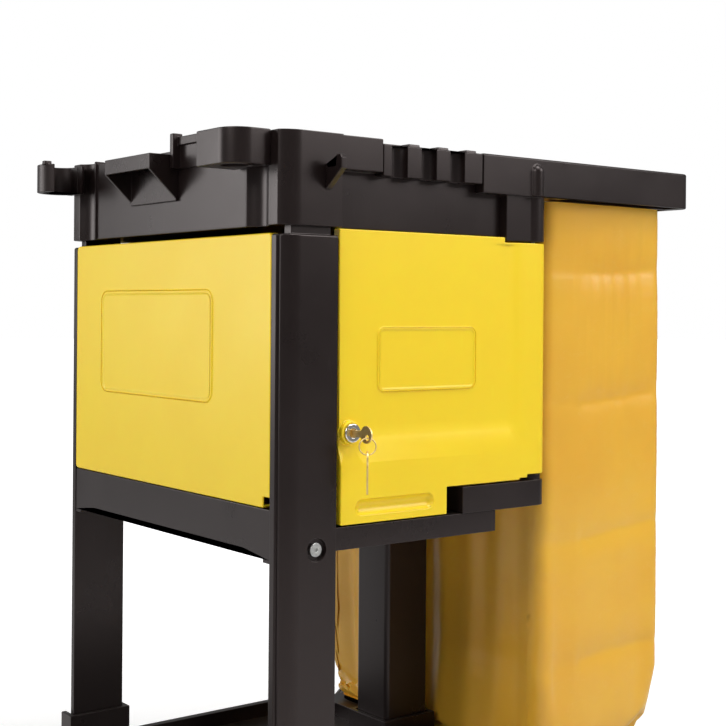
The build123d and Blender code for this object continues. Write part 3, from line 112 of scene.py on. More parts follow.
# ---------------------------------------------------------------- modelling operations
class Bench:
    """Modelling operations that every sub-assembly uses."""

    @staticmethod
    def only(obj: bpy.types.Object) -> None:
        """Makes obj the one selected and active object."""
        bpy.ops.object.select_all(action="DESELECT")
        obj.select_set(True)
        bpy.context.view_layer.objects.active = obj

    @staticmethod
    def settle(obj: bpy.types.Object, name: str) -> bpy.types.Object:
        """Names a new object and moves its place into its mesh.

        Args:
            obj: the object that an operator has just added.
            name: its name, which its mesh takes too.

        Returns:
            The same object, at the origin.
        """
        obj.name = name
        obj.data.name = name
        Bench.only(obj)
        bpy.ops.object.transform_apply(location=True, rotation=True, scale=True)
        return obj

    @staticmethod
    def block(name: str, low: Triple, high: Triple) -> bpy.types.Object:
        """Adds a box between two corners.

        Args:
            name: name of the object.
            low, high: opposite corners in millimetres.

        Returns:
            The box.
        """
        bpy.ops.object.select_all(action="DESELECT")
        bpy.ops.mesh.primitive_cube_add(size=1, location=(mm(*low) + mm(*high)) / 2)
        obj = bpy.context.object
        obj.scale = mm(*high) - mm(*low)
        return Bench.settle(obj, name)

    @staticmethod
    def rod(name: str, centre: Triple, radius: float, length: float, axis: Axis,
            sides: int = 48, top: float | None = None) -> bpy.types.Object:
        """Adds a round bar or, with a second radius, a cone.

        Args:
            name: name of the object.
            centre: middle of the bar in millimetres.
            radius: radius at its low end in millimetres.
            length: length in millimetres.
            axis: direction that it lies in.
            sides: number of facets round it.
            top: radius at its high end, where that differs.

        Returns:
            The bar.
        """
        bpy.ops.object.select_all(action="DESELECT")
        bpy.ops.mesh.primitive_cone_add(
            vertices=sides, radius1=radius * MM, radius2=(radius if top is None else top) * MM,
            depth=length * MM, location=mm(*centre), rotation=axis.value)
        return Bench.settle(bpy.context.object, name)

    @staticmethod
    def pick(obj: bpy.types.Object, kind: Pick, test: Callable[..., bool]) -> None:
        """Selects the parts of obj that pass a test and opens it for editing.

        Args:
            obj: the object to edit.
            kind: what is picked.
            test: takes, in millimetres, a point's place, an edge's two ends, or a face's
                centre and its normal.
        """
        Bench.only(obj)
        mesh = obj.data
        bpy.context.tool_settings.mesh_select_mode = kind.value
        for part in (mesh.vertices, mesh.edges, mesh.polygons):
            part.foreach_set("select", [False] * len(part))
        if kind is Pick.POINTS:
            for point in mesh.vertices:
                point.select = test(point.co / MM)
        elif kind is Pick.EDGES:
            for edge in mesh.edges:
                edge.select = test(*(mesh.vertices[i].co / MM for i in edge.vertices))
        else:
            for face in mesh.polygons:
                face.select = test(face.center / MM, face.normal)
        bpy.ops.object.mode_set(mode="EDIT")

    @staticmethod
    def done() -> None:
        """Leaves edit mode."""
        bpy.ops.object.mode_set(mode="OBJECT")

    @staticmethod
    def apply(obj: bpy.types.Object, kind: str, **settings: object) -> None:
        """Adds a modifier and applies it.

        Args:
            obj: the object.
            kind: type of the modifier.
            settings: its properties.
        """
        Bench.only(obj)
        modifier = obj.modifiers.new(kind.lower(), kind)
        for key, value in settings.items():
            setattr(modifier, key, value)
        bpy.ops.object.modifier_apply(modifier=modifier.name)

    @staticmethod
    def join(obj: bpy.types.Object, tool: bpy.types.Object, operation: str) -> None:
        """Adds tool to obj or cuts it away, and removes tool.

        Args:
            obj: the object that stays.
            tool: the object that is used up.
            operation: "UNION" or "DIFFERENCE".
        """
        Bench.apply(obj, "BOOLEAN", object=tool, operation=operation, solver="EXACT")
        mesh = tool.data
        bpy.data.objects.remove(tool)
        bpy.data.meshes.remove(mesh)
        Bench.merge(obj, CLEAN)

    @staticmethod
    def copy_of(node: str) -> bpy.types.Object:
        """Copies a frame node, merges its loose triangles and clears the flat divisions.

        Args:
            node: name of the node.

        Returns:
            The copy, with real edges and flat many-sided faces.
        """
        name = node + "_visual"
        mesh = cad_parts[node].data.copy()
        mesh.name = name
        mesh.materials.clear()
        obj = bpy.data.objects.new(name, mesh)
        bpy.context.collection.objects.link(obj)
        Bench.only(obj)
        if mesh.has_custom_normals:
            bpy.ops.mesh.customdata_custom_splitnormals_clear()
        Bench.merge(obj, MERGE)
        return obj

    @staticmethod
    def merge(obj: bpy.types.Object, gap: float) -> None:
        """Merges points that lie together and clears divisions of flat faces.

        Args:
            obj: the object.
            gap: the longest distance to merge over, in metres.
        """
        Bench.only(obj)
        bpy.ops.object.mode_set(mode="EDIT")
        bpy.ops.mesh.select_all(action="SELECT")
        bpy.ops.mesh.remove_doubles(threshold=gap)
        bpy.ops.mesh.dissolve_limited(angle_limit=FLAT_ANGLE)
        Bench.done()

    @staticmethod
    def soften(obj: bpy.types.Object, width: float, steps: int = 2) -> None:
        """Rounds the sharp edges and sets the shading.

        Args:
            obj: the object.
            width: width of the rounding in millimetres.
            steps: facets across it.
        """
        Bench.apply(obj, "BEVEL", width=width * MM, segments=steps, limit_method="ANGLE",
                    angle_limit=SMOOTH_ANGLE, use_clamp_overlap=False)
        Bench.only(obj)
        bpy.ops.object.shade_smooth_by_angle(angle=SMOOTH_ANGLE)
        Bench.apply(obj, "WEIGHTED_NORMAL", keep_sharp=True, weight=90)


# ---------------------------------------------------------------- finishes
class Tree:
    """A node tree with short ways to add and join nodes."""

    def __init__(self, tree: bpy.types.NodeTree) -> None:
        """Starts on an empty tree.

        Args:
            tree: the material's or group's tree.
        """
        self.tree = tree
        tree.nodes.clear()

    def add(self, kind: str, inputs: dict[str | int, object] | None = None,
            **settings: object) -> bpy.types.Node:
        """Adds a node.

        Args:
            kind: type of the node without its ShaderNode prefix.
            inputs: values or sockets for its inputs, by name or number.
            settings: properties of the node.

        Returns:
            The node.
        """
        node = self.tree.nodes.new(kind if kind.startswith("Node") else "ShaderNode" + kind)
        for key, value in settings.items():
            setattr(node, key, value)
        for key, value in (inputs or {}).items():
            socket = node.inputs[key]
            if isinstance(value, bpy.types.NodeSocket):
                self.tree.links.new(value, socket)
            else:
                socket.default_value = value
        return node

    def noise(self, vector: bpy.types.NodeSocket, scale: object, detail: float = 3.0,
              rough: float = 0.55) -> bpy.types.NodeSocket:
        """Adds a noise texture.

        Args:
            vector: coordinates.
            scale: number or socket that sets its size.
            detail: octaves.
            rough: strength of the finer octaves.

        Returns:
            Its value, from 0 to 1.
        """
        return self.add("TexNoise", {"Vector": vector, "Scale": scale, "Detail": detail,
                                     "Roughness": rough}).outputs["Fac"]

    def ramp(self, value: bpy.types.NodeSocket, low: float, high: float, start: float = 0.0,
             end: float = 1.0) -> bpy.types.NodeSocket:
        """Stretches a value between two limits.

        Args:
            value: the socket to stretch.
            low, high: values that become start and end.
            start, end: values at the limits.

        Returns:
            The stretched value.
        """
        return self.add("MapRange", {"Value": value, "From Min": low, "From Max": high,
                                     "To Min": start, "To Max": end}).outputs["Result"]

    def math(self, operation: str, one: object, two: object = 0.0) -> bpy.types.NodeSocket:
        """Adds a sum of two values.

        Args:
            operation: name of the operation.
            one, two: numbers or sockets.

        Returns:
            The result.
        """
        return self.add("Math", {0: one, 1: two}, operation=operation).outputs[0]

    def mix(self, factor: object, one: object, two: object) -> bpy.types.NodeSocket:
        """Mixes two colours.

        Args:
            factor: share of the second.
            one, two: colours or sockets.

        Returns:
            The mixed colour.
        """
        return self.add("Mix", {0: factor, 6: one, 7: two}, data_type="RGBA").outputs[2]

    def effect(self, name: str, inputs: dict[str, object]) -> bpy.types.bpy_prop_collection:
        """Adds one of the shared effects.

        Args:
            name: name of its group.
            inputs: values for its inputs.

        Returns:
            The group's outputs.
        """
        return self.add("Group", inputs, node_tree=bpy.data.node_groups[name]).outputs


class Effects:
    """Shared shading effects, each a node group that gives masks and heights only."""

    @staticmethod
    def group(name: str, inputs: dict[str, float],
              outputs: Iterable[str]) -> tuple[Tree, bpy.types.bpy_prop_collection]:
        """Starts a node group.

        Args:
            name: its name.
            inputs: numbers that it takes, with their first values.
            outputs: numbers that it gives.

        Returns:
            The group's tree and what it is given, with a vector before the others.
        """
        made = bpy.data.node_groups.new(name, "ShaderNodeTree")
        made.interface.new_socket("Vector", in_out="INPUT", socket_type="NodeSocketVector")
        for key, value in inputs.items():
            socket = made.interface.new_socket(key, in_out="INPUT", socket_type="NodeSocketFloat")
            socket.default_value = value
        for key in outputs:
            made.interface.new_socket(key, in_out="OUTPUT", socket_type="NodeSocketFloat")
        tree = Tree(made)
        return tree, tree.add("NodeGroupInput").outputs

    @staticmethod
    def moulding() -> bpy.types.NodeTree:
        """Makes the moulded surface: cloudy tone, fine spark-eroded grain and faint rub marks.

        Returns:
            The group, which gives Tone, Rub and Height.
        """
        tree, given = Effects.group("moulded_surface", {"Cloud": 9.0, "Grain": 900.0},
                                    ("Tone", "Rub", "Height"))
        vector = given["Vector"]
        cloud = tree.noise(vector, given["Cloud"], 5.0)
        flow = tree.add("Mapping", {"Vector": vector, "Scale": (2.0, 2.0, 1.0)})
        streak = tree.noise(flow.outputs["Vector"], 9.0, 3.0)
        tone = tree.math("ADD", tree.ramp(cloud, 0.3, 0.7, 0.0, 0.8),
                         tree.ramp(streak, 0.35, 0.65, 0.0, 0.2))
        rubbed = tree.add("Mapping", {"Vector": vector, "Scale": (1.0, 1.0, 0.16),
                                      "Rotation": (0.5, 0.3, 0.2)})
        rub = tree.ramp(tree.noise(rubbed.outputs["Vector"], 150.0, 2.0), 0.66, 0.78)
        grain = tree.noise(vector, given["Grain"], 2.0, 0.6)
        height = tree.math("SUBTRACT", grain, tree.math("MULTIPLY", rub, 0.5))
        tree.add("NodeGroupOutput", {"Tone": tone, "Rub": rub, "Height": height})
        return tree.tree

    @staticmethod
    def grime() -> bpy.types.NodeTree:
        """Makes light dust that lies on faces turned upwards, broken up by noise.

        Returns:
            The group, which gives Dust.
        """
        tree, given = Effects.group("settled_dust", {"Amount": 0.25}, ("Dust",))
        upward = tree.add("SeparateXYZ",
                          {"Vector": tree.add("NewGeometry").outputs["Normal"]}).outputs["Z"]
        patchy = tree.ramp(tree.noise(given["Vector"], 34.0, 6.0, 0.7), 0.35, 0.75)
        dust = tree.math("MULTIPLY", tree.ramp(upward, 0.55, 0.98), patchy)
        tree.add("NodeGroupOutput",
                 {"Dust": tree.math("MULTIPLY", dust, given["Amount"])})
        return tree.tree

    @staticmethod
    def hide() -> bpy.types.NodeTree:
        """Makes the pebbled face of coated fabric with slack ripples under it.

        Returns:
            The group, which gives Tone, Crease and Height.
        """
        tree, given = Effects.group("coated_fabric", {"Pebble": 620.0, "Ripple": 16.0},
                                    ("Tone", "Crease", "Height"))
        vector = given["Vector"]
        cells = tree.add("TexVoronoi", {"Vector": vector, "Scale": given["Pebble"]})
        pebble = cells.outputs["Distance"]
        tall = tree.add("Mapping", {"Vector": vector, "Scale": (1.0, 1.0, 2.6)})
        ripple = tree.noise(tall.outputs["Vector"], given["Ripple"], 4.0, 0.5)
        crease = tree.ramp(tree.math("ABSOLUTE", tree.math("SUBTRACT", ripple, 0.5)), 0.0, 0.008,
                           1.0, 0.0)
        height = tree.math("ADD", tree.math("MULTIPLY", pebble, 0.12),
                           tree.math("MULTIPLY", ripple, 1.6))
        tree.add("NodeGroupOutput", {"Tone": tree.noise(vector, 5.0, 4.0), "Crease": crease,
                                     "Height": height})
        return tree.tree

    @staticmethod
    def brushing() -> bpy.types.NodeTree:
        """Makes the mottled face of plated metal with fine drawn lines.

        Returns:
            The group, which gives Tone, Line and Height.
        """
        tree, given = Effects.group("plated_metal", {"Spangle": 240.0}, ("Tone", "Line", "Height"))
        vector = given["Vector"]
        spangle = tree.noise(vector, given["Spangle"], 4.0, 0.7)
        drawn = tree.add("Mapping", {"Vector": vector, "Scale": (1.0, 1.0, 30.0)})
        line = tree.noise(drawn.outputs["Vector"], 120.0, 2.0)
        tree.add("NodeGroupOutput", {"Tone": tree.ramp(spangle, 0.35, 0.65), "Line": line,
                                     "Height": tree.math("ADD", spangle, line)})
        return tree.tree


@dataclass(frozen=True)
class Finish:
    """Base of every finish.

    Attributes:
        name: name of the material.
        colour: main colour, linear.
        second: colour that it drifts towards.
        roughness: mean roughness.
        relief: depth of its fine relief in millimetres.
    """

    name: str
    colour: Triple
    second: Triple
    roughness: float
    relief: float

    def parts(self) -> tuple[bpy.types.Material, Tree, bpy.types.NodeSocket]:
        """Starts the material.

        Returns:
            The material, its tree and its object coordinates.
        """
        material = bpy.data.materials.new(self.name)
        material.use_nodes = True
        tree = Tree(material.node_tree)
        return material, tree, tree.add("TexCoord").outputs["Object"]

    def close(self, tree: Tree, colour: object, rough: object, height: object,
              **constants: object) -> None:
        """Adds the surface shader and the relief.

        Args:
            tree: the material's tree.
            colour, rough, height: sockets for the colour, roughness and relief.
            constants: other inputs of the surface shader, with underscores for spaces.
        """
        bump = tree.add("Bump", {"Height": height, "Strength": 1.0,
                                 "Distance": self.relief * MM})
        shader = tree.add("BsdfPrincipled", {
            "Base Color": colour, "Roughness": rough, "Normal": bump.outputs["Normal"],
            **{key.replace("_", " "): value for key, value in constants.items()}})
        tree.add("OutputMaterial", {"Surface": shader.outputs["BSDF"]})

    def drift(self, tree: Tree, share: bpy.types.NodeSocket) -> bpy.types.NodeSocket:
        """Mixes the two colours of the finish.

        Args:
            tree: the material's tree.
            share: share of the second colour.

        Returns:
            The mixed colour.
        """
        return tree.mix(share, (*self.colour, 1.0), (*self.second, 1.0))


@dataclass(frozen=True)
class Moulded(Finish):
    """Injection-moulded plastic.

    Attributes:
        spread: how far the roughness wanders.
        dust: share of settled dust on upward faces.
        gloss: specular level.
        soak: share of light that soaks in.
        wear: strength of the rub marks.
        tint: colour of its sheen.
    """

    spread: float = 0.12
    dust: float = 0.2
    gloss: float = 0.5
    soak: float = 0.0
    wear: float = 0.3
    tint: Triple = (1.0, 1.0, 1.0)

    def make(self) -> bpy.types.Material:
        """Builds the material.

        Returns:
            The material.
        """
        material, tree, vector = self.parts()
        skin = tree.effect("moulded_surface", {"Vector": vector})
        dust = tree.effect("settled_dust", {"Vector": vector, "Amount": self.dust})["Dust"]
        bright = tuple(min(1.0, c * 1.6 + 0.01) for c in self.colour)
        rubbed = tree.mix(tree.math("MULTIPLY", skin["Rub"], self.wear),
                          self.drift(tree, skin["Tone"]), (*bright, 1.0))
        colour = tree.mix(dust, rubbed, DUST_COLOUR)
        rough = tree.ramp(skin["Tone"], 0.0, 1.0, self.roughness - self.spread / 2,
                          self.roughness + self.spread / 2)
        rough = tree.math("ADD", rough, tree.math("MULTIPLY", dust, 0.5))
        self.close(tree, colour, rough, skin["Height"],
                   Specular_IOR_Level=self.gloss, Subsurface_Weight=self.soak,
                   Subsurface_Scale=0.003, Specular_Tint=(*self.tint, 1.0))
        return material


@dataclass(frozen=True)
class Coated(Finish):
    """Vinyl-coated fabric."""

    def make(self) -> bpy.types.Material:
        """Builds the material.

        Returns:
            The material.
        """
        material, tree, vector = self.parts()
        face = tree.effect("coated_fabric", {"Vector": vector})
        tone = self.drift(tree, tree.ramp(face["Tone"], 0.35, 0.65))
        worn = tree.mix(tree.math("MULTIPLY", face["Crease"], 0.05), tone, CREASE_COLOUR)
        rough = tree.ramp(face["Tone"], 0.3, 0.7, self.roughness - 0.05, self.roughness + 0.06)
        self.close(tree, worn, rough, face["Height"], Subsurface_Weight=0.12,
                   Subsurface_Scale=0.004)
        return material


@dataclass(frozen=True)
class Plated(Finish):
    """Plated or polished metal."""

    def make(self) -> bpy.types.Material:
        """Builds the material.

        Returns:
            The material.
        """
        material, tree, vector = self.parts()
        face = tree.effect("plated_metal", {"Vector": vector})
        rough = tree.ramp(face["Line"], 0.3, 0.7, self.roughness * 0.8, self.roughness * 1.3)
        self.close(tree, self.drift(tree, face["Tone"]), rough, face["Height"], Metallic=1.0)
        return material


class Wardrobe:
    """All finishes, made once and handed out by slot."""

    def __init__(self) -> None:
        """Makes the shared effects and every finish."""
        for make in (Effects.moulding, Effects.grime, Effects.hide, Effects.brushing):
            make()
        black = Moulded("cart_black", (0.007, 0.0042, 0.0040), (0.011, 0.0070, 0.0066), 0.30, 0.03,
                        0.10, 0.06, 0.45, tint=(1.0, 0.86, 0.84))
        yellow = Moulded("cart_yellow", (0.93, 0.67, 0.018), (0.91, 0.63, 0.014), 0.36, 0.03,
                         0.08, 0.05, 0.45, 0.15, 0.04)
        self.finishes = {
            Slot.BLACK: black.make(),
            Slot.YELLOW: yellow.make(),
            Slot.VINYL: Coated("cart_vinyl", (0.84, 0.46, 0.040), (0.79, 0.40, 0.030), 0.34,
                               0.16).make(),
            Slot.STEEL: Plated("zinc_steel", (0.62, 0.62, 0.60), (0.46, 0.46, 0.45), 0.34,
                               0.01).make(),
            Slot.CHROME: Plated("lock_chrome", (0.80, 0.78, 0.74), (0.72, 0.70, 0.66), 0.12,
                                0.004).make(),
            Slot.BRASS: Plated("lock_brass", (0.72, 0.50, 0.20), (0.55, 0.37, 0.14), 0.24,
                               0.006).make(),
            Slot.NICKEL: Plated("key_nickel", (0.95, 0.74, 0.34), (0.85, 0.62, 0.26), 0.42,
                                0.006).make(),
            Slot.HUB: Moulded("hub_plastic", (0.030, 0.028, 0.028), (0.045, 0.041, 0.040), 0.5,
                              0.05).make(),
            Slot.TYRE: Moulded("grey_tyre", (0.16, 0.155, 0.15), (0.12, 0.115, 0.11), 0.68, 0.12,
                               0.1, 0.35, 0.3, 0.0, 0.2).make(),
        }

    def dress(self, obj: bpy.types.Object, slot: Slot, body: str, node: str) -> None:
        """Finishes a piece and ties it to the frame.

        Args:
            obj: the piece.
            slot: where its finish comes from.
            body: name of the body that carries it.
            node: the frame node that it stands for.
        """
        obj.data.materials.clear()
        obj.data.materials.append(self.finishes[slot])
        obj.data.polygons.foreach_set("material_index", [0] * len(obj.data.polygons))
        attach(obj, body)
        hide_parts(node)
        log.info("%s: %d faces on %s", obj.name, len(obj.data.polygons), body)


@dataclass
class Softened:
    """A set of pieces whose frame shape is right and only needs real, rounded edges.

    Attributes:
        slot: their finish.
        body: the body that carries them.
        nodes: each node with the width of its rounding in millimetres.
    """

    slot: Slot
    body: str
    nodes: dict[str, float]

    def build(self, wardrobe: Wardrobe) -> None:
        """Builds every piece.

        Args:
            wardrobe: gives the finish.
        """
        for node, width in self.nodes.items():
            obj = Bench.copy_of(node)
            Bench.soften(obj, width)
            wardrobe.dress(obj, self.slot, self.body, node)


# ---------------------------------------------------------------- structure
@dataclass
class Structure:
    """Base, uprights and middle shelf, with the bolts that hold them.

    Attributes:
        edge: width of the rounding on its mouldings.
        socket_radius, socket_depth: size of the hexagon socket in a bolt's head.
    """

    edge: float = 1.0
    socket_radius: float = 2.6
    socket_depth: float = 2.2

    def build(self, wardrobe: Wardrobe) -> None:
        """Builds the structure.

        Args:
            wardrobe: gives the finishes.
        """
        Softened(Slot.BLACK, Body.ROOT.value, {
            "base_platform": self.edge, "middle_shelf": self.edge,
            "front_post_door_side": self.edge, "front_post_far_side": self.edge,
            "rear_column": self.edge}).build(wardrobe)
        Softened(Slot.STEEL, Body.ROOT.value, {
            "post_nuts": 0.4, "column_nuts": 0.4, "caster_bolts": 0.4,
            "frame_screws": 0.3, "strike_screws": 0.15}).build(wardrobe)
        for node in ("post_bolts", "column_bolts"):
            bolts = Bench.copy_of(node)
            self.socket(bolts)
            Bench.soften(bolts, 0.5, 3)
            wardrobe.dress(bolts, Slot.STEEL, Body.ROOT.value, node)

    def socket(self, bolts: bpy.types.Object) -> None:
        """Cuts a hexagon socket into the head of every bolt.

        Args:
            bolts: the object with the bolts, which lie along y.
        """
        faces = [f for f in bolts.data.polygons if abs(f.normal.y) > 0.99]
        reach = max(abs(f.center.y) for f in faces)
        heads = [f.center.copy() for f in faces if abs(abs(f.center.y) - reach) < 0.1 * MM]
        for head in heads:
            tool = Bench.rod("socket", tuple(head / MM), self.socket_radius,
                             2 * self.socket_depth, Axis.Y, 6)
            Bench.join(bolts, tool, "DIFFERENCE")


# ---------------------------------------------------------------- top tray
@dataclass
class TopTray:
    """Top tray with the holders that are moulded on its edge."""

    edge: float = 1.2

    def build(self, wardrobe: Wardrobe) -> None:
        """Builds the tray and its holders.

        Args:
            wardrobe: gives the finish.
        """
        nodes = {"top_tray": self.edge, "bracket_shelf": 1.0, "handle_fence": 1.2,
                 "bottle_ring": 1.6, "mop_clip": 1.0}
        for side in ("door_side", "far_side"):
            nodes["grip_rack_" + side] = 1.0
            nodes["utility_hook_" + side] = 1.2
        Softened(Slot.BLACK, Body.ROOT.value, nodes).build(wardrobe)


# ---------------------------------------------------------------- cabinet
@dataclass
class Plaque:
    """Blank raised plaque with a rim.

    Attributes:
        middle: its centre on the panel in millimetres.
        width, height: its size.
        proud: how far it stands out.
        corner: radius of its corners.
        rim: width of the rim round its sunk middle.
        sink: depth of the middle below the rim.
        slope: width of the step down to the middle.
        bed: how deep it is let into the panel.
    """

    middle: Triple
    width: float
    height: float
    proud: float = 0.9
    corner: float = 14.0
    rim: float = 4.0
    sink: float = 0.6
    slope: float = 0.8
    bed: float = 3.0

    def add(self, panel: bpy.types.Object, axis: Axis, outward: float) -> None:
        """Raises the plaque on a panel.

        Args:
            panel: the panel.
            axis: direction that the panel faces, X or Y.
            outward: 1 or -1, which way along that axis.
        """
        along = 0 if axis is Axis.X else 1
        half = [self.width / 2, self.width / 2, self.height / 2]
        half[along] = 0.0
        low, high = (Vector(self.middle) + Vector(half) * way for way in (-1, 1))
        face = self.middle[along] + self.proud * outward
        low[along], high[along] = sorted((self.middle[along] - self.bed * outward, face))
        slab = Bench.block("plaque", tuple(low), tuple(high))
        tall = self.bed + self.proud
        Bench.pick(slab, Pick.EDGES, lambda a, b: abs(abs(a[along] - b[along]) - tall) < 0.1)
        bpy.ops.mesh.bevel(offset=self.corner * MM, segments=8)
        Bench.done()
        Bench.pick(slab, Pick.FACES,
                   lambda c, n: abs(c[along] - face) < 0.1 and abs(n[along]) > 0.9)
        bpy.ops.mesh.inset(thickness=self.rim * MM)
        shift = [0.0, 0.0, 0.0]
        shift[along] = -self.sink * outward * MM
        bpy.ops.mesh.inset(thickness=self.slope * MM)
        bpy.ops.transform.translate(value=shift)
        Bench.done()
        Bench.join(panel, slab, "UNION")


@dataclass
class Cabinet:
    """Fixed panels of the cabinet.

    Attributes:
        end_edge, side_edge: width of the rounding on the end panel and the far one.
    """

    end_edge: float = 1.4
    side_edge: float = 1.0

    def build(self, wardrobe: Wardrobe) -> None:
        """Builds the panels.

        Args:
            wardrobe: gives the finishes.
        """
        Softened(Slot.YELLOW, Body.ROOT.value,
                 {"cabinet_bag_side_panel": 0.8}).build(wardrobe)
        for node, plaque, axis, outward, edge in (
                ("cabinet_end_panel", Plaque((-77.5, 22.0, 733.0), 272.0, 128.0), Axis.X, -1.0,
                 self.end_edge),
                ("cabinet_far_panel", Plaque((112.5, 252.0, 720.0), 152.0, 76.0), Axis.Y, 1.0,
                 self.side_edge)):
            panel = Bench.copy_of(node)
            plaque.add(panel, axis, outward)
            Bench.soften(panel, edge, 3)
            wardrobe.dress(panel, Slot.YELLOW, Body.ROOT.value, node)
        Softened(Slot.STEEL, Body.ROOT.value, {"strike_plate": 0.3}).build(wardrobe)


@dataclass
class Door:
    """Cabinet door: a sunk field with wide sloped borders, a lock boss and a finger pull.

    Attributes:
        front: y of the proud face.
        depth: how deep the field is sunk.
        slope_x: x where the right slope starts and ends.
        slope_z: z where the lower slope ends and starts.
        lock: x and z of the lock.
        boss: radius of the boss that carries the lock.
        dip: radii of the hollow round the lock at the field and at the face.
        pull: x of both ends of the finger pull, and its z.
        pull_radius: radius of its scoop.
        pull_lift: how far the scoop's centre is in front of the face.
        backing: corners of the blocks that thicken the skin behind the hollows.
        past_left, past_top: x and z that the field's tool reaches to.
        field_round: radius where the field meets its slopes.
        boss_height: thickness of the lock boss.
        hole: radius of the hole for the lock.
        edge: width of the rounding on its edges.
    """

    front: float = -254.0
    depth: float = 6.5
    slope_x: tuple[float, float] = (257.0, 279.0)
    slope_z: tuple[float, float] = (608.0, 641.0)
    lock: tuple[float, float] = (14.5, 641.6)
    boss: float = 13.0
    dip: tuple[float, float] = (20.0, 38.0)
    pull: tuple[float, float, float] = (20.0, 133.0, 559.5)
    pull_radius: float = 9.2
    pull_lift: float = 3.4
    backing: tuple[tuple[Triple, Triple], ...] = (
        ((2.0, -254.0, 575.0), (281.0, -244.0, 857.0)),
        ((2.5, -254.0, 544.0), (150.5, -242.0, 590.0)))
    past_left: float = -30.0
    past_top: float = 900.0
    field_round: float = 7.0
    boss_height: float = 8.0
    hole: float = 9.8
    edge: float = 1.3

    def field_tool(self) -> bpy.types.Object:
        """Makes the shape that the sunk field takes away.

        Returns:
            The tool, open past the top and the latch edge of the door.
        """
        reach = 6.0
        low_y, high_y = self.front - reach, self.front + self.depth
        tool = Bench.block("field_tool", (self.past_left, low_y, self.slope_z[1]),
                           (self.slope_x[0], high_y, self.past_top))
        grow = (reach + self.depth) / self.depth
        Bench.pick(tool, Pick.POINTS, lambda p: p.y < self.front and p.x > 0)
        bpy.ops.transform.translate(value=((self.slope_x[1] - self.slope_x[0]) * grow * MM, 0, 0))
        Bench.done()
        Bench.pick(tool, Pick.POINTS, lambda p: p.y < self.front and p.z < 800)
        bpy.ops.transform.translate(value=(0, 0, (self.slope_z[0] - self.slope_z[1]) * grow * MM))
        Bench.done()
        Bench.pick(tool, Pick.EDGES, lambda a, b: (
            min(a.y, b.y) > self.front and (min(a.x, b.x) > 0 or max(a.z, b.z) < 700))
            or (abs(a.y - b.y) > 5 and min(a.x, b.x) > 0 and max(a.z, b.z) < 700))
        bpy.ops.mesh.bevel(offset=self.field_round * MM, segments=5)
        Bench.done()
        return tool

    def build(self, wardrobe: Wardrobe) -> None:
        """Builds the door.

        Args:
            wardrobe: gives the finish.
        """
        x, z = self.lock
        door = Bench.copy_of("cabinet_door")
        for low, high in self.backing:
            Bench.join(door, Bench.block("backing", low, high), "UNION")
        Bench.join(door, self.field_tool(), "DIFFERENCE")
        dip = Bench.rod("dip", (x, self.front + self.depth / 2 - 1.0, z), self.dip[0],
                        self.depth + 2.0, Axis.Y, 64,
                        self.dip[1] + (self.dip[1] - self.dip[0]) * 2 / self.depth)
        Bench.join(door, dip, "DIFFERENCE")
        boss = Bench.rod("boss", (x, self.front + self.boss_height / 2, z), self.boss,
                         self.boss_height, Axis.Y, 64)
        Bench.join(door, boss, "UNION")
        hole = Bench.rod("hole", (x, self.front + self.boss_height, z), self.hole, 40.0, Axis.Y, 64)
        Bench.join(door, hole, "DIFFERENCE")
        start, end, level = self.pull
        y = self.front - self.pull_lift
        scoop = Bench.rod("scoop", ((start + end) / 2, y, level), self.pull_radius,
                          end - start - 2 * self.pull_radius, Axis.X, 48)
        Bench.join(door, scoop, "DIFFERENCE")
        for side in (start + self.pull_radius, end - self.pull_radius):
            bpy.ops.object.select_all(action="DESELECT")
            bpy.ops.mesh.primitive_uv_sphere_add(
                segments=48, ring_count=24, location=mm(side, y, level),
                radius=self.pull_radius * MM)
            Bench.join(door, Bench.settle(bpy.context.object, "scoop_end"), "DIFFERENCE")
        Plaque((127.0, self.front + self.depth, 720.5), 146.0, 72.0, corner=9.0,
               rim=3.0).add(door, Axis.Y, -1.0)
        Bench.soften(door, self.edge, 3)
        wardrobe.dress(door, Slot.YELLOW, Body.DOOR.value, "cabinet_door")
        Softened(Slot.BLACK, Body.ROOT.value, {"hinge_bracket": 1.0}).build(wardrobe)
        Softened(Slot.STEEL, Body.ROOT.value,
                 {"hinge_pin_lower": 0.3, "hinge_pin_upper": 0.3}).build(wardrobe)


# ---------------------------------------------------------------- lock and keys
@dataclass
class LockSet:
    """Cam lock with a key in it, a ring and a spare key.

    Attributes:
        key_edge: width of the rounding on the keys and the cam.
    """

    key_edge: float = 0.25

    def build(self, wardrobe: Wardrobe) -> None:
        """Builds the lock and its keys.

        Args:
            wardrobe: gives the finishes.
        """
        for slot, body, nodes in (
                (Slot.CHROME, Body.DOOR, {"lock_barrel": 0.5}),
                (Slot.STEEL, Body.DOOR, {"lock_nut": 0.3}),
                (Slot.BRASS, Body.CORE, {"lock_plug": 0.3}),
                (Slot.STEEL, Body.CORE, {"lock_cam": self.key_edge, "cam_screw": 0.15}),
                (Slot.NICKEL, Body.RING, {"key_ring": 0.1}),
                (Slot.NICKEL, Body.CORE, {"door_key": self.key_edge}),
                (Slot.NICKEL, Body.SPARE, {"spare_key": self.key_edge})):
            Softened(slot, body.value, nodes).build(wardrobe)


# ---------------------------------------------------------------- bag
@dataclass
class BagFrame:
    """Push handle and bag frame with the studs that the bag hooks over."""

    edge: float = 1.6

    def build(self, wardrobe: Wardrobe) -> None:
        """Builds the frame.

        Args:
            wardrobe: gives the finish.
        """
        Softened(Slot.BLACK, Body.ROOT.value,
                 {"bag_frame": self.edge, "bag_hooks": 0.6}).build(wardrobe)


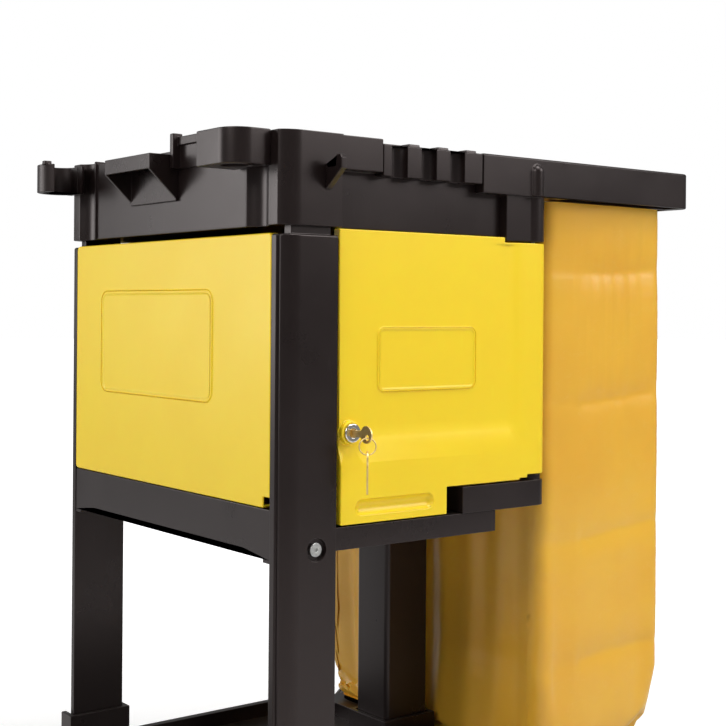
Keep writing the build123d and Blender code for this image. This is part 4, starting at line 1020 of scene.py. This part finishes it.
@dataclass
class VinylBag:
    """Vinyl bag: a lofted shell that hangs from the frame and sags.

    Attributes:
        low, high: corners of the box that it fills at its top.
        bottom_inset: how far the bottom is in from the walls, along x and y.
        flare: height over which it narrows to its bottom.
        corner: radius of its vertical corners.
        creases: z of the level creases that packing has left.
        fold: x of the upright fold on its near face.
        around, up: points round the wall and up it.
        floor_rows: rings of points in the bottom.
        frames: steps of the cloth simulation.
        crease_depth, crease_spread: depth of a level crease and how soon it fades.
        fold_depth, fold_spread: the same for the upright fold.
        lean: how fast the near face falls back on the cabinet side of the fold.
        swell: height of the slow waves in the wall.
        wall: thickness of the vinyl.
    """

    low: Triple = (331.5, -236.0, 198.0)
    high: Triple = (546.5, 236.0, 912.0)
    bottom_inset: tuple[float, float] = (8.0, 24.0)
    flare: float = 120.0
    corner: float = 16.0
    creases: tuple[float, ...] = (826.0, 662.0, 487.0, 330.0)
    fold: float = 396.0
    around: int = 232
    up: int = 150
    floor_rows: int = 26
    frames: int = 24
    crease_depth: float = 4.6
    crease_spread: float = 17.0
    fold_depth: float = 1.6
    fold_spread: float = 6.0
    lean: float = 0.10
    swell: float = 1.6
    wall: float = 1.2

    def outline(self, share: float, inset_x: float, inset_y: float,
                corner: float) -> tuple[float, float]:
        """Finds a point on a rounded rectangle.

        Args:
            share: how far round, from 0 to 1, starting on the cabinet side.
            inset_x, inset_y: how far the rectangle is in from the box.
            corner: radius of its corners.

        Returns:
            x and y in millimetres.
        """
        x0, x1 = self.low[0] + inset_x, self.high[0] - inset_x
        y0, y1 = self.low[1] + inset_y, self.high[1] - inset_y
        flat_x, flat_y, turn = x1 - x0 - 2 * corner, y1 - y0 - 2 * corner, corner * math.pi / 2
        way = (share % 1.0) * (2 * flat_x + 2 * flat_y + 4 * turn)
        sides = ((flat_x, (x0 + corner, y0), (1, 0)), (flat_y, (x1, y0 + corner), (0, 1)),
                 (flat_x, (x1 - corner, y1), (-1, 0)), (flat_y, (x0, y1 - corner), (0, -1)))
        for length, start, step in sides:
            if way <= length:
                return start[0] + step[0] * way, start[1] + step[1] * way
            way -= length
            if way <= turn:
                angle = way / corner
                end = (start[0] + step[0] * length, start[1] + step[1] * length)
                across = (-step[1], step[0])
                return (end[0] + corner * (step[0] * math.sin(angle)
                                           + across[0] * (1 - math.cos(angle))),
                        end[1] + corner * (step[1] * math.sin(angle)
                                           + across[1] * (1 - math.cos(angle))))
            way -= turn
        return x0 + corner, y0

    def slack(self, x: float, y: float, z: float) -> Vector:
        """Finds how far slack and creases move a point of the wall.

        Args:
            x, y, z: the point in millimetres.

        Returns:
            The move in millimetres.
        """
        middle = (self.low[0] + self.high[0]) / 2
        near = abs(y) > abs(self.low[1]) - 30
        out = Vector((0.0, math.copysign(1.0, y), 0.0)) if near else \
            Vector((math.copysign(1.0, x - middle), 0.0, 0.0))
        hang = min(1.0, (self.high[2] - z) / 60.0) * min(1.0, (z - self.low[2]) / 40.0)
        amount = 0.0
        for i, level in enumerate(self.creases):
            tilt = 3.0 * math.sin(0.02 * (x + y) + i) + 0.05 * (x - self.fold)
            gap = abs(z - level - tilt)
            side = (1.0 if x > self.fold else 0.4) if near else 0.25
            amount -= side * self.crease_depth * math.exp(-gap / self.crease_spread)
        if near:
            fade = math.exp(-abs(x - self.fold) / self.fold_spread)
            amount -= self.fold_depth * fade * (0.6 + 0.4 * math.sin(z / 90.0))
            amount -= self.lean * max(0.0, self.fold - x)
        amount += self.swell * noise.noise(Vector((x / 90.0, y / 90.0, z / 55.0)))
        edge = max(0.0, 1.0 - (self.high[0] - x) / 45.0) if near else 0.0
        ripple = noise.noise(Vector((x / 40.0, y / 60.0, z / 7.0)))
        amount += (0.2 + 0.9 * edge) * ripple
        turn = min(1.0, (self.high[0] - x) / 22.0) if near else 1.0
        return out * amount * max(0.0, hang) * max(0.25, turn)

    def loft(self) -> bpy.types.Object:
        """Makes the shell from a grid wrapped into walls and a bottom.

        Returns:
            The shell, open at its top.
        """
        rows = self.up + self.floor_rows
        bpy.ops.object.select_all(action="DESELECT")
        bpy.ops.mesh.primitive_grid_add(x_subdivisions=self.around, y_subdivisions=rows, size=2)
        bag = Bench.settle(bpy.context.object, "vinyl_bag_visual")
        tall = self.high[2] - self.low[2]
        for point in bag.data.vertices:
            share = (point.co.x + 1) / 2
            row = round((point.co.y + 1) / 2 * rows)
            if row < self.floor_rows:
                size = 0.02 + 0.98 * row / self.floor_rows
                x, y = self.outline(share, *self.bottom_inset, self.corner)
                cx = (self.low[0] + self.high[0]) / 2
                dip = 5.0 * (1 - size ** 2)
                point.co = mm(cx + (x - cx) * size, y * size, self.low[2] + 2.0 + dip)
                continue
            rise = (row - self.floor_rows) / self.up
            z = self.low[2] + rise * tall
            inset = max(0.0, 1 - (z - self.low[2]) / self.flare)
            round_off = 10.0 * max(0.0, 1 - (z - self.low[2]) / 14.0) ** 2
            x, y = self.outline(share, self.bottom_inset[0] * inset + round_off,
                                self.bottom_inset[1] * inset + round_off, self.corner)
            point.co = mm(x, y, z)
        Bench.only(bag)
        bpy.ops.object.mode_set(mode="EDIT")
        bpy.ops.mesh.select_all(action="SELECT")
        bpy.ops.mesh.remove_doubles(threshold=1e-5)
        bpy.ops.mesh.normals_make_consistent(inside=False)
        Bench.done()
        return bag

    def drape(self, bag: bpy.types.Object) -> None:
        """Lets the shell sag under its own weight, held at its hem and its bottom edge.

        Args:
            bag: the shell.
        """
        held = bag.vertex_groups.new(name="held")
        top, foot = (self.high[2] - 14.0) * MM, (self.low[2] + 16.0) * MM
        held.add([v.index for v in bag.data.vertices if v.co.z > top or v.co.z < foot], 1.0, "ADD")
        Bench.only(bag)
        cloth = bag.modifiers.new("cloth", "CLOTH")
        settings = cloth.settings
        settings.quality = 6
        settings.mass = 0.35
        settings.tension_stiffness = settings.compression_stiffness = 25.0
        settings.shear_stiffness = 10.0
        settings.bending_stiffness = 4.0
        settings.shrink_min = -0.012
        settings.vertex_group_mass = held.name
        cloth.collision_settings.use_collision = False
        cloth.point_cache.frame_start, cloth.point_cache.frame_end = 1, self.frames
        scene = bpy.context.scene
        for step in range(1, self.frames + 1):
            scene.frame_set(step)
        bpy.ops.object.modifier_apply(modifier=cloth.name)
        bag.vertex_groups.clear()
        scene.frame_set(1)

    def crease(self, bag: bpy.types.Object) -> None:
        """Presses the packing creases into the hanging shell.

        Args:
            bag: the shell.
        """
        for point in bag.data.vertices:
            x, y, z = point.co / MM
            if z > self.low[2] + 12.0:
                point.co += self.slack(x, y, z) * MM

    def build(self, wardrobe: Wardrobe) -> None:
        """Builds the bag.

        Args:
            wardrobe: gives the finish.
        """
        noise.seed_set(7)
        bag = self.loft()
        self.drape(bag)
        self.crease(bag)
        Bench.apply(bag, "SOLIDIFY", thickness=self.wall * MM, offset=-1.0, use_rim=True)
        Bench.only(bag)
        bpy.ops.object.shade_smooth_by_angle(angle=math.radians(60))
        wardrobe.dress(bag, Slot.VINYL, Body.ROOT.value, "vinyl_bag")


# ---------------------------------------------------------------- running gear
@dataclass
class Tread:
    """Grooves round a tyre.

    Attributes:
        places: distance of each groove from the middle of the tyre.
        width, depth: size of a groove.
    """

    places: tuple[float, ...] = (-9.0, 0.0, 9.0)
    width: float = 2.0
    depth: float = 1.6

    def cut(self, tyre: bpy.types.Object, axle: Triple, radius: float) -> None:
        """Cuts the grooves.

        Args:
            tyre: the tyre, whose axle lies along y.
            axle: the middle of the tyre.
            radius: its radius.
        """
        for place in self.places:
            x, y, z = axle[0], axle[1] + place, axle[2]
            ring = Bench.rod("ring", (x, y, z), radius + 8.0, self.width, Axis.Y, 96)
            core = Bench.rod("core", (x, y, z), radius - self.depth, self.width + 4.0, Axis.Y, 96)
            Bench.join(ring, core, "DIFFERENCE")
            Bench.join(tyre, ring, "DIFFERENCE")


@dataclass
class RunningGear:
    """Rear wheels on their axle and the two swivelling casters.

    Attributes:
        sides: ends of the names on either side.
        wheel: centre of the far rear wheel in millimetres, as high as its radius.
        tread: grooves of the rear tyres.
    """

    sides: tuple[str, str] = ("door_side", "far_side")
    wheel: Triple = (450.0, 254.0, 101.6)
    tread: Tread = field(default_factory=Tread)

    def build(self, wardrobe: Wardrobe) -> None:
        """Builds the wheels and casters.

        Args:
            wardrobe: gives the finishes.
        """
        Softened(Slot.STEEL, Body.ROOT.value, {
            "rear_axle": 0.5, "axle_caps": 0.8, "axle_washers": 0.3}).build(wardrobe)
        for side in self.sides:
            sign = -1.0 if side == "door_side" else 1.0
            spin, swivel, roller = (f"{name}_{side}" for name in (
                "rear_wheel", "caster_swivel", "caster_roller"))
            Softened(Slot.HUB, spin, {f"rear_wheel_hub_{side}": 1.0}).build(wardrobe)
            tyre = Bench.copy_of(f"rear_wheel_tyre_{side}")
            x, y, z = self.wheel
            self.tread.cut(tyre, (x, sign * y, z), z)
            Bench.soften(tyre, 0.4)
            wardrobe.dress(tyre, Slot.TYRE, spin, f"rear_wheel_tyre_{side}")
            Softened(Slot.STEEL, Body.ROOT.value, {
                f"caster_plate_{side}": 0.5, f"caster_race_{side}": 0.3}).build(wardrobe)
            Softened(Slot.STEEL, swivel, {
                f"caster_fork_{side}": 0.6, f"caster_axle_{side}": 0.4}).build(wardrobe)
            Softened(Slot.HUB, roller, {f"caster_wheel_{side}": 0.6}).build(wardrobe)
            Softened(Slot.TYRE, roller, {f"caster_tyre_{side}": 0.4}).build(wardrobe)


# ---------------------------------------------------------------- studio
@dataclass(frozen=True)
class Softbox:
    """A square area light.

    Attributes:
        place, aim: points in metres.
        size: edge in metres.
        power: watts.
    """

    name: str
    place: Triple
    aim: Triple
    size: float
    power: float

    def light(self) -> None:
        """Adds the light."""
        data = bpy.data.lights.new(self.name, "AREA")
        data.shape = "SQUARE"
        data.size = self.size
        data.energy = self.power
        lamp = bpy.data.objects.new(self.name, data)
        lamp.location = self.place
        way = Vector(self.aim) - Vector(self.place)
        lamp.rotation_euler = way.to_track_quat("-Z", "Y").to_euler()
        bpy.context.collection.objects.link(lamp)


@dataclass
class Studio:
    """Pale floor, soft lights and the camera.

    Attributes:
        camera_place, heading, roll, lens, shift_y: the camera's place, turns and view.
        floor_size: edge of the floor.
        surround: strength of the light from all round.
        glow_from, glow_to: distances between which the floor's glow grows to full.
        glow_near: its strength at the nearer one.
    """

    camera_place: Triple = (-0.8733, -1.4245, 0.775)
    heading: float = 0.6564
    roll: float = 0.0078
    lens: float = 67.08
    shift_y: float = -0.0726
    floor_size: float = 60.0
    surround: float = 0.24
    glow_from: float = 0.9
    glow_to: float = 2.6
    glow_near: float = 0.3

    def build(self) -> None:
        """Builds the studio."""
        self.floor()
        self.world()
        for box in (Softbox("key", (2.1, -2.5, 2.35), (0.0, 0.0, 0.6), 1.7, 50.0),
                    Softbox("fill", (-2.6, -0.9, 2.4), (0.0, 0.0, 0.6), 1.5, 38.0),
                    Softbox("overhead", (0.3, -0.9, 3.0), (0.0, 0.0, 0.3), 1.4, 40.0),
                    Softbox("side", (-2.4, 2.3, 1.3), (0.0, 0.0, 0.7), 1.7, 34.0)):
            box.light()
        data = bpy.data.cameras.new("camera")
        data.lens = self.lens
        data.shift_y = self.shift_y
        camera = bpy.data.objects.new("camera", data)
        camera.location = self.camera_place
        turn = (Matrix.Rotation(-self.heading, 4, "Z") @ Matrix.Rotation(math.pi / 2, 4, "X")
                @ Matrix.Rotation(self.roll, 4, "Z"))
        camera.rotation_euler = turn.to_euler()
        bpy.context.collection.objects.link(camera)
        bpy.context.scene.camera = camera
        bpy.context.scene.view_settings.view_transform = "Standard"

    def floor(self) -> None:
        """Lays the floor, bright enough to meet the background without an edge."""
        bpy.ops.object.select_all(action="DESELECT")
        bpy.ops.mesh.primitive_plane_add(size=self.floor_size)
        floor = Bench.settle(bpy.context.object, "floor")
        material = bpy.data.materials.new("pale_floor")
        material.use_nodes = True
        tree = Tree(material.node_tree)
        tone = tree.noise(tree.add("TexCoord").outputs["Object"], 3.0)
        colour = tree.mix(tone, (0.86, 0.86, 0.86, 1.0), (0.9, 0.9, 0.9, 1.0))
        length = tree.add("VectorMath", {0: tree.add("TexCoord").outputs["Object"]},
                          operation="LENGTH").outputs["Value"]
        grown = tree.ramp(length, self.glow_from, self.glow_to, self.glow_near, 1.0)
        glow = tree.math("MULTIPLY", grown, tree.add("LightPath").outputs["Is Camera Ray"])
        shader = tree.add("BsdfPrincipled", {
            "Base Color": colour, "Roughness": 0.9, "Emission Color": (1.0, 1.0, 1.0, 1.0),
            "Emission Strength": glow})
        tree.add("OutputMaterial", {"Surface": shader.outputs["BSDF"]})
        floor.data.materials.append(material)

    def world(self) -> None:
        """Lights the surroundings evenly, and shows them white."""
        world = bpy.data.worlds.new("studio")
        bpy.context.scene.world = world
        world.use_nodes = True
        tree = Tree(world.node_tree)
        seen = tree.add("LightPath").outputs["Is Camera Ray"]
        strength = tree.ramp(seen, 0.0, 1.0, self.surround, 1.0)
        back = tree.add("Background", {"Color": (1.0, 1.0, 1.0, 1.0), "Strength": strength})
        tree.add("OutputWorld", {"Surface": back.outputs["Background"]})


def main() -> None:
    """Builds the cart and the studio."""
    logging.basicConfig(level=logging.INFO, format="%(message)s")
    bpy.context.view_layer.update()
    wardrobe = Wardrobe()
    for part in (Structure(), TopTray(), Cabinet(), Door(), LockSet(), BagFrame(), VinylBag(),
                 RunningGear()):
        part.build(wardrobe)
        log.info("built %s", type(part).__name__)
    Studio().build()


if __name__ == "__main__":
    main()
